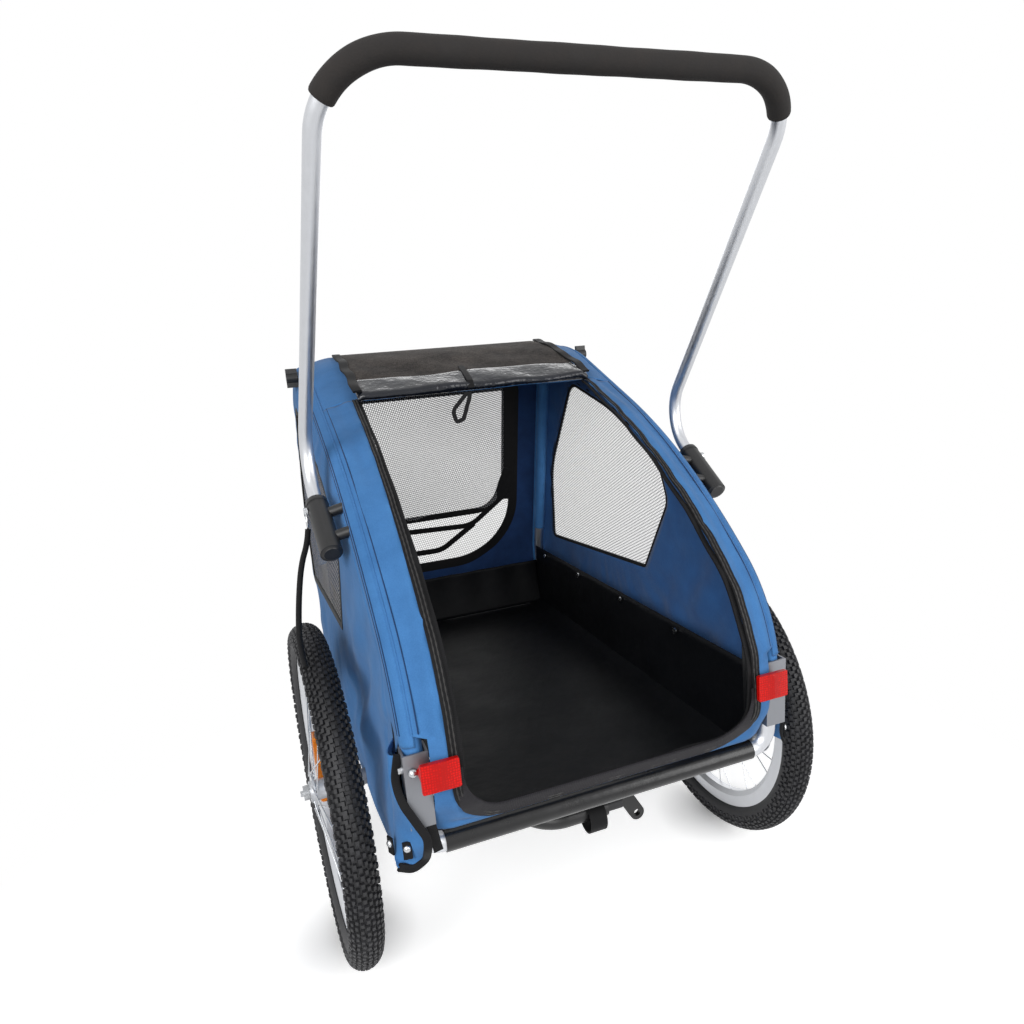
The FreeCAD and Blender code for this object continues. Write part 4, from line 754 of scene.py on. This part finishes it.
def door_zip():
    """Zip round the doorway: black tape, an inner lip, two thin lines of coil, and the sill's hem."""
    path, up = swept_door(-3.0, 1.6)
    walk = run_of(path)[:, None]
    ripple = 0.8 * sin(walk / 13.0) + 0.5 * sin(walk / 7.0)
    ends = np.minimum(walk, walk[-1] - walk)[:, 0]
    wider = 0.6 + 0.4 * smooth_step((ends - 120.0) / 380.0)
    tape = sweep(path + up * ripple, band(12.0, 2.6), up, scale=wider)
    path, up = swept_door(5.0, -2.5)
    lip = sweep(path + up * 1.4 * sin(walk / 19.0), band(8.0, 4.0), up, scale=wider)
    make_piece("door_zip_tape", [tape, lip], BLACK_TAPE, stands_for=("door_zip",))
    lines = []
    for inset, lift in ((0.2, 2.9), (-4.4, 2.7)):
        path, up = swept_door(inset, lift)
        beat = 1.0 + 0.25 * np.sign(sin(np.arange(len(path)) * pi / 2.0 + 0.3))
        lines.append(sweep(path + up * ripple, oval(1.8, 1.6, 6), up, scale=beat))
    make_piece("door_zip_coil", lines, ZIP_GREY)
    path, up = swept_door(3.0, 2.2, low=0.64)
    walk = run_of(path)
    edge = clip(np.minimum(walk, walk[-1] - walk) / 60.0, 0.25, 1.0)
    make_piece("sill_hem", [sweep(path, band(26.0, 3.4), up, scale=edge)], SILL_TAPE)


# Cabin lining

def cabin_lining():
    """Black tub: across, a floor with rounded creases and side walls; along, from the sill to the front
    wall; the walls ripple, the floor sags between the rails; a strip of lining closes each rear corner."""
    y = linspace(TUB_REAR_Y, TUB_FRONT_Y - 6.0, 120)[:, None]
    top_half = side_x(y, 400.0) - 14.0
    floor_half = top_half - 6.0
    wall, bend, floor_share = 138.0, 16.0, 0.8
    reach = concatenate([linspace(0.0, floor_share, 16), linspace(0.81, 1.0, 12)])
    share = concatenate([-reach[::-1], reach[1:]])
    flat = clip(np.abs(share) / floor_share, 0.0, 1.0)
    lift = clip((np.abs(share) - floor_share) / 0.2, 0.0, 1.0)
    curve = bend * (1 - cos(pi / 2 * smooth_step((flat - 0.86) / 0.14))) / 2
    ripple = lift * (1 - lift) * 4.0 * (1.6 * sin(y / 24.0) + sin(y / 41.0 + 1.2))
    x = np.sign(share) * (floor_half * flat + (top_half - floor_half) * lift - np.maximum(ripple, -1.0))
    dip = -2.0 * (1 - flat ** 2) + 0.5 * sin(y / 33.0) * sin(x / 29.0) * (1 - lift)
    tub = joined(x, y, FLOOR_Z + curve + (wall - bend / 2) * lift + np.maximum(dip, -1.2))
    across = linspace(-1.0, 1.0, 60)
    rise = linspace(0.0, 1.0, 16)[:, None]
    half = side_x(TUB_FRONT_Y, 300.0) - 16.0
    back = TUB_FRONT_Y - 8.0 - 22.0 * (1 - rise) ** 2 + 2.0 * sin(across * 19) * rise
    front = joined(half * across, back, FLOOR_Z + 0.5 + 102.0 * rise)
    piece = make_piece("cabin_lining", [tub, front], LINING,
                       stands_for=("cabin_tub", "floor_board"), thick=1.4)
    rise = linspace(278.0, NOTCH_Z + 6.0, 4)[:, None]
    screen = joined(np.array((NOTCH_X - 4.0, 268.0)), -244.0, rise)
    piece = make_piece("corner_linings", both_sides([screen]), LINING, thick=1.2)


# Roof flap

FLAP_FRONT, FLAP_REAR = rear_run(897.5), rear_run(815.0)
FLAP_HALF, FLAP_LIFT, FLAP_ROLL = 206.0, 4.0, 7.0
FLAP_SEAM = 40


def flap_run(share):
    """Run of the cover at a share of the flap's way from its front edge to its rear."""
    return FLAP_FRONT + (FLAP_REAR - FLAP_FRONT) * share


def flap_height(share):
    """Height of the folded flap over the roof, from its front edge to the roll at its rear."""
    return FLAP_LIFT + 2.0 * FLAP_ROLL * smooth_step(share) ** 1.5


def roof_flap():
    """Door of mesh and clear film folded back on the roof: a sheet that rises to a roll at its rear (half
    a circle in height and run), with long creases; straps along its ends and over its middle."""
    x = linspace(-FLAP_HALF, FLAP_HALF, 130)[:, None]
    share = linspace(0.0, 1.0, 52)
    s = flap_run(share) + 2.0 * sin(x / 60.0) * share
    crease = (1.6 * sin(x / 46.0 + share * 9.0) + sin(x / 21.0 - share * 14.0)) * share
    fall = 1.0 - 0.35 * smooth_step((np.abs(x) - FLAP_HALF + 12.0) / 12.0)
    sheet = on_cover(x, s, -(flap_height(share) + crease) * fall)
    turn = linspace(0.0, 1.15 * pi, 18)
    roll_s = s[:, -1:] - FLAP_ROLL * sin(turn) * (1.0 + 0.15 * sin(x / 17.0))
    high = 1.0 + cos(turn)
    roll = on_cover(x, roll_s, -(FLAP_LIFT + FLAP_ROLL * high + crease[:, -1:] * high / 2) * fall)
    piece = make_piece("roof_flap_mesh", [sheet[:, :FLAP_SEAM + 1]], FLAP_MESH,
                       stands_for=("door_flap",), thick=FLAP_T)
    piece = make_piece("roof_flap_film", [concatenate([sheet[:, FLAP_SEAM:], roll[:, 1:]], axis=1)],
                       CLEAR_VINYL, thick=FLAP_T)
    share = linspace(0.02, 1.0, 60)
    s = flap_run(share)
    straps = []
    for hand in (-1, 1):
        x = hand * (FLAP_HALF - 1.0 + 1.5 * sin(share * 17.0 + hand))
        path = on_cover(x, s, -flap_height(share) - 1.0 - 1.2 * sin(share * 23.0 + hand))
        straps.append(sweep(path, band(15.0, 4.0), on_cover(x, s, -40.0) - path))
    share = linspace(0.7, 1.0, 30)
    s = append(flap_run(share), FLAP_REAR - FLAP_ROLL - 2.0)
    lift = append(flap_height(share) + 2.4, FLAP_ROLL + FLAP_LIFT)
    middle = on_cover(linspace(-8.0, -14.0, len(s)), s, -lift)
    straps.append(sweep(middle, band(11.0, 2.4), (0.0, -0.6, 0.8)))
    loop = closed_loop(TIE_LOOP, (6, 12, 5, 5, 12), 90)
    loop = joined(loop[:, 0], 138.0, loop[:, 1])
    straps.append(sweep(loop, band(7.0, 2.2), (0.0, -1.0, 0.0), capped=False))
    make_piece("flap_straps", straps, BLACK_TAPE, stands_for=("flap_ties",))


# Rear corners

TONGUE_ROOT_Y = -234.0
TONGUE_BEND = (291.0, -276.0)
TONGUE_FACE_Y = -277.0
TABS = (((273.0, -281.5, 300.0), (0.15, -1.0, 0.0)), ((289.0, -258.0, 297.0), (1.0, -0.45, 0.0)))


def dome(centre, axis, radius, height):
    """A round screw head: circles about an axis that shrink like a flattened ball."""
    share = sin(linspace(0.0, pi / 2, 7))
    path = np.asarray(centre, float) + unit(axis) * height * share[:, None]
    size = np.sqrt(clip(1.0 - share ** 2, 0.0, 1.0)) + 0.02
    return sweep(path, oval(2 * radius, 2 * radius, 16), (0.0, 0.0, 1.0), scale=size)


def rear_corners():
    """Tongue of cloth at each rear corner: a curve of second order from the side panel's rear edge round
    the corner to a bound edge, on the right only as far as the corner; with tabs, studs, a webbing strip
    and the reflector's screw."""
    edge = resample(rounded(TONGUE, TONGUE_R), 60)
    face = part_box("rear_channels")[0][1] * 1000.0 - SHIFT[1]
    over = smooth_step((396.0 - edge[:, 1]) / 40.0) * smooth_step((edge[:, 1] - 270.0) / 40.0)
    edge = joined(edge[:, 0], TONGUE_FACE_Y + (face - 2.6 - TONGUE_FACE_Y) * over, edge[:, 1])
    z = linspace(TONGUE[0][1], TONGUE[-1][1], 60)
    start = side_point(TONGUE_ROOT_Y, z, PANEL_OUT - 1.0 + flare(TONGUE_ROOT_Y, z))
    bend = joined(*TONGUE_BEND, (edge[:, 2] + z) / 2)
    v = linspace(0.0, 1.0, 16)[None, :, None]
    curved = (1 - v) ** 2 * start[:, None] + 2 * v * (1 - v) * bend[:, None] + v ** 2 * edge[:, None]
    half = curved[:, :8]
    for name, grid, area in (("right", half, 0.0045), ("left", mirror_x(curved), 0.009)):
        piece = make_piece(name + "_corner_tongue", [grid], BLUE, thick=CANVAS_T)
    plain = sweep(half[:, -1], band(8.0, 4.0), (1.0, -0.6, 0.0))
    strip = resample([(247.0, -287.0, 366.0), (243.0, -286.0, 330.0), (236.0, -279.0, 286.0)], 20)
    straps = [sweep(edge, band(10.0, 5.0), (0.0, -1.0, 0.15)),
              sweep(strip, band(12.0, 1.8), (0.0, -1.0, 0.2))]
    studs = []
    for place, way in TABS:
        way = unit(way)
        rise = place + np.outer(linspace(-11.0, 11.0, 6), (0.0, 0.0, 1.0))
        straps.append(sweep(rise, band(11.0, 2.6), way))
        studs.append(dome(place + way * 1.2 + (0.0, 0.0, 3.0), way, 4.6, 3.4))
    make_piece("corner_bindings", [plain, straps[-1], *map(mirror_x, straps)], BLACK_TAPE)
    studs.append(dome((257.0, face - 0.2, 401.0), (0.0, -1.0, 0.0), 5.6, 4.4))
    make_piece("corner_studs", studs[1:] + [mirror_x(grid) for grid in studs], PLATED,
               stands_for=("skirt_studs",))


def coupler_caps():
    """End caps of the handle couplers: a short turned plug below and an open collar above, on the
    couplers' own axes."""
    low, high = np.array(COUPLER_LOW), np.array(COUPLER_HIGH)
    way = unit(high - low)
    caps = []
    for foot, ahead, steps, radii in ((low, -way, (-1.0, 2.2), (14.6, 14.6, 13.0, 11.0, 10.4)),
                                      (high, way, (-8.0, 1.0), (15.6, 15.6, 15.2, 14.2))):
        path = foot + np.outer(linspace(*steps, len(radii)), ahead)
        caps.append(sweep(path, oval(2.0, 2.0, 32), (1.0, 0.0, 0.0), capped=not caps, scale=radii))
    make_piece("coupler_caps", both_sides(caps), BLACK_PLASTIC)


def front_roll():
    """Rain cover rolled up under the front window: a spiral step in radius, carried across with soft
    waves, and two ties, each a strap in a circle."""
    x = linspace(-ROLL_HALF, ROLL_HALF, 90)[:, None]
    turn = linspace(0.0, 2 * pi, 40)
    ring = 10.6 + turn / pi + 0.5 * sin(3 * turn + x / 40.0) * sin(turn / 2)
    ring = ring * clip((ROLL_HALF - np.abs(x)) / 3.0, 0.0, 1.0) ** 0.5
    grid = joined(x, ROLL_Y + ring * cos(turn + 0.8), ROLL_Z + ring * sin(turn + 0.8))
    make_piece("front_cover_rolled", [concatenate([grid, grid[:, :1]], axis=1)], BLUE,
               stands_for=("front_cover_roll",), crease=60.0, recalc=True)
    ties = []
    for at in (-120.0, 120.0):
        up = joined(0.0, ROLL_TIE_R * cos(turn), ROLL_TIE_R * sin(turn))
        ties.append(sweep(up + (at, ROLL_Y, ROLL_Z), band(20.0, 1.6), up, capped=False))
    make_piece("front_cover_ties", ties, BLACK_TAPE)


# Wheels

def askew(points):
    """Left wheel points as their axle sits: turned about the upright line through its receiver."""
    x, y, z = np.moveaxis(points, -1, 0)
    turn = radians(AXLE_SLACK)
    away = x - SLACK_X
    return joined(away * cos(turn) - y * sin(turn) + SLACK_X, away * sin(turn) + y * cos(turn), z)


def tread_blocks(centre):
    """Tread blocks of a tyre as eight-point boxes: foot and top squares set out along each row's lean and
    turn, tops drawn in a little."""
    rows = [(0.0, 2.7, 3.4, 0.0)]
    for hand in (-1, 1):
        rows += [(0.3 * hand, 2.4, 3.2, 0.5), (0.6 * hand, 2.4, 3.4, 0.0), (0.9 * hand, 2.5, 3.4, 0.5),
                 (1.2 * hand, 2.6, 3.8, 0.0), (1.55 * hand, 2.6, 2.8, 0.5)]
    count = 144
    index = np.arange(count)[:, None]
    square = np.array([(-1, -1), (1, -1), (1, 1), (-1, 1)], float)
    blocks = []
    for lean, half_w, half_l, phase in rows:
        tall = 3.6 if abs(lean) < 1.3 else 2.2
        turn = 2 * pi * (index + phase) / count
        sway = np.where(index % 2, 1.0, -1.0) * (1.2 if abs(lean) > 1.0 else 0.5)
        rings = []
        for high, taper in ((TYRE_SECTION - 2.0, 1.1), (TYRE_SECTION + tall, 0.82)):
            wide = square[:, 0] * half_w * taper + sway
            swing = turn + square[:, 1] * half_l * taper / (TYRE_RING + 20.0)
            radius = TYRE_RING + cos(lean) * high - sin(lean) * wide
            rings.append(joined(sin(lean) * high + cos(lean) * wide, radius * cos(swing),
                                radius * sin(swing)))
        blocks.append(np.stack(rings, axis=1))
    return concatenate(blocks).reshape(-1, 3) + centre


def knobbly_tyre(wheel, hand):
    """Tyre with block tread: a turned carcass, joined with its rows of blocks, six faces to each."""
    centre = np.array((hand * HALF_TRACK, 0.0, AXLE_Z))
    arc = linspace(-2.45, 2.45, 25)
    carcass = joined((TYRE_SECTION + 0.1) * sin(arc), TYRE_RING + TYRE_SECTION * cos(arc))
    bead = np.array([[12.6, 211.5], [11.0, 207.0], [0.0, 205.0], [-11.0, 207.0], [-12.6, 211.5]])
    ring = turned(concatenate([carcass, bead, carcass[:1]]), centre, 120)
    lugs = tread_blocks(centre)
    if hand < 0:
        ring, lugs = askew(ring), askew(lugs)
    make_piece(wheel + "_knobbly_tyre", [ring], RUBBER, body=wheel + "_wheel",
               stands_for=(wheel + "_tyre",), crease=35.0, recalc=True, blocks=lugs)


# Handle

def foam_grip():
    """Foam sleeve on the handle's top bar: a round profile carried along the bent bar, a little uneven;
    it stops short of the end of each bend."""
    top, low, high = (np.array(place) for place in (HANDLE_TOP, COUPLER_LOW, COUPLER_HIGH))
    bend = low + (high - low) * (HANDLE_BEND_Y - low[1]) / (high[1] - low[1])
    down = unit(bend - top)
    half = acos(clip(-down[0], -1, 1)) / 2
    end = top + down * HANDLE_CORNER_R / tan(half)
    flip = np.array((-1.0, 1.0, 1.0))
    path = rounded([end, top, top * flip, end * flip], (HANDLE_CORNER_R, HANDLE_CORNER_R), 60)
    run = run_of(path)
    bare = HANDLE_CORNER_R * radians(GRIP_STOP)
    path = at_runs(path, run, linspace(bare, run[-1] - bare, 260))
    walk = run_of(path)
    edge = np.minimum(walk, walk[-1] - walk)
    size = 1.0 + 0.012 * sin(walk / 21.0) + 0.008 * sin(walk / 8.0)
    size = size * clip(0.94 + edge / 40.0, 0.94, 1.0)
    sleeve = sweep(path, oval(GRIP_D, GRIP_D, 28), (0.0, 1.0, 0.3), scale=size)
    piece = make_piece("foam_grip_sleeve", [sleeve], FOAM, stands_for=("foam_grip",))


def wrist_strap():
    """Limp cord hanging from the left pin's ring: one open NURBS spline with its route's points."""
    curve = bpy.data.curves.new("wrist_cord", "CURVE")
    curve.dimensions = "3D"
    curve.bevel_depth = CORD_D / 2000.0
    curve.bevel_resolution = 3
    curve.resolution_u = 16
    curve.use_fill_caps = True
    spline = curve.splines.new("NURBS")
    spline.points.add(len(CORD_POINTS) - 1)
    spline.points.foreach_set("co", np.insert(metres(CORD_POINTS), 3, 1.0, axis=1).ravel())
    spline.order_u = 3
    spline.use_endpoint_u = True
    curve.materials.append(CORD_BRAID)
    piece = put("wrist_cord", curve)
    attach(piece, "left_handle_pin")
    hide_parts("wrist_strap")


# Stage

def aimed(name, data, right, up, back, place):
    """A camera or lamp whose matrix has these columns: right, up, backwards and its place."""
    piece = put(name, data)
    piece.matrix_world = Matrix([*np.column_stack([right, up, back, place]).tolist(), (0.0, 0.0, 0.0, 1.0)])
    return piece


def camera():
    """Camera at the photograph's place."""
    data = bpy.data.cameras.new("camera")
    data.sensor_width = 36.0
    data.lens = 25.264
    data.clip_end = 100.0
    bpy.context.scene.camera = aimed("camera", data, (0.93641, -0.33957, -0.08847),
                                     (0.14610, 0.14801, 0.97814), (-0.31904, -0.92887, 0.18821),
                                     metres((-369.5, -1050.25, 838.34)))


def seen_rays(node):
    """Share of rays that show the surface itself: camera, mirror and see-through rays."""
    rays = node("LightPath").node.outputs
    seen = node("Math", None, {0: rays["Is Camera Ray"], 1: rays["Is Transmission Ray"]}, operation="MAXIMUM")
    return node("Math", None, {0: seen, 1: rays["Is Glossy Ray"]}, operation="MAXIMUM")


def white_world():
    """World that is seen as white and lights the object softly."""
    world = bpy.data.worlds.new("studio")
    bpy.context.scene.world = world
    world.use_nodes = True
    world.node_tree.nodes.clear()
    node = partial(add, world.node_tree)
    level = node("MapRange", {3: WORLD_LIGHT, 4: 1.0}, {0: seen_rays(node)})
    light = node("Background", {"Color": (1.0, 1.0, 1.0, 1.0)}, {"Strength": level})
    node("OutputWorld", links={"Surface": light})


def floor_paint(node, at):
    """White floor: its glow grows with the distance from the wheels, so that the open floor is white and the
    shadows by the wheels stay; the low glow within about 11 cm of each contact point also paints shade there,
    on top of the real contact shadow."""
    middle, left, right = (
        node("VectorMath", {1: spot}, {0: at["Object"]}, "Value", operation="DISTANCE")
        for spot in ((0.0, -0.2, 0.0), (-0.345, -0.235, 0.0), (0.34, -0.22, 0.0)))
    wheel = node("Math", None, {0: left, 1: right}, operation="MINIMUM")
    # Painted contact shade: less glow close to each wheel's contact point.
    near = node("MapRange", {1: 0.01, 2: 0.11, 3: CONTACT_GLOW_PAINTED_SHADE, 4: FLOOR_GLOW}, {0: wheel})
    far = node("MapRange", {1: 0.5, 2: 1.0}, {0: middle})
    glow = node("MapRange", {4: 1.0}, {0: far, 3: near})
    paint = node("Mix", {6: to_linear("#f2f2f2"), 7: to_linear("#000000")}, {0: far}, 2, data_type="RGBA")
    shown = node("Math", None, {0: glow, 1: seen_rays(node)}, operation="MULTIPLY")
    return ({"Roughness": 0.9, "Specular IOR Level": 0.0, "Emission Color": (1.0, 1.0, 1.0, 1.0)},
            {"Base Color": paint, "Emission Strength": shown})


def pale_floor():
    """A flat square just under the wheels."""
    x, y = np.meshgrid((-8.0, 8.0), (-8.0, 8.0))
    floor = bpy.data.meshes.new("floor")
    floor.from_pydata(joined(x, y, -0.0005).reshape(-1, 3), [], [(0, 1, 3, 2)])
    floor.materials.append(finish("pale_floor", floor_paint))
    put("floor", floor)


def soft_lamps():
    """Large soft lamps: key and side from the left behind the camera, fill from the right, a weak one
    from the front."""
    for name, place, size, power in LAMPS:
        lamp = bpy.data.lights.new(name, "AREA")
        lamp.size = size
        lamp.energy = power
        back = unit(np.subtract(place, LAMP_AIM))
        right = unit(np.cross((0.0, 0.0, 1.0), back))
        aimed(name, lamp, right, np.cross(back, right), back, place)


def finish_frame():
    """Give the CAD nodes that stay visible their finishes."""
    finishes = {
        ALLOY: "rear_tube base_rail axle_tube left_hoop right_hoop crossbar handle_tube left_rim right_rim "
               "left_hub right_hub",
        PLATED: "channel_bolts wheel_axles drawbar_bolt tub_studs caster_axle left_pin "
                "right_pin left_spokes right_spokes left_release_button right_release_button",
        GREY_STEEL: "axle_receivers rear_channels drawbar_bracket",
        BLACK_PLASTIC: "front_feet handle_couplers coupler_bolts stow_clip caster_rim left_knob right_knob",
        BLACK_PAINT: "wheel_arm drawbar hitch_arm caster_fork",
        RUBBER: "hitch_buffer caster_tyre",
        BLACK_TAPE: "safety_strap",
        VINYL: "rear_sleeve",
        RED_LENS: "rear_reflectors",
        AMBER_LENS: "left_spoke_reflector right_spoke_reflector",
    }
    for material, names in finishes.items():
        for name in names.split():
            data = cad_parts[name].data
            data.materials.clear()
            data.materials.append(material)


bpy.context.scene.view_settings.view_transform = "Standard"
camera()
white_world()
pale_floor()
soft_lamps()
finish_frame()
rear_band()
roof_sheet()
front_sheet()
side_sheets()
hoop_sleeves()
side_windows()
front_window()
door_zip()
cabin_lining()
roof_flap()
rear_corners()
coupler_caps()
front_roll()
knobbly_tyre("left", -1)
knobbly_tyre("right", 1)
foam_grip()
wrist_strap()
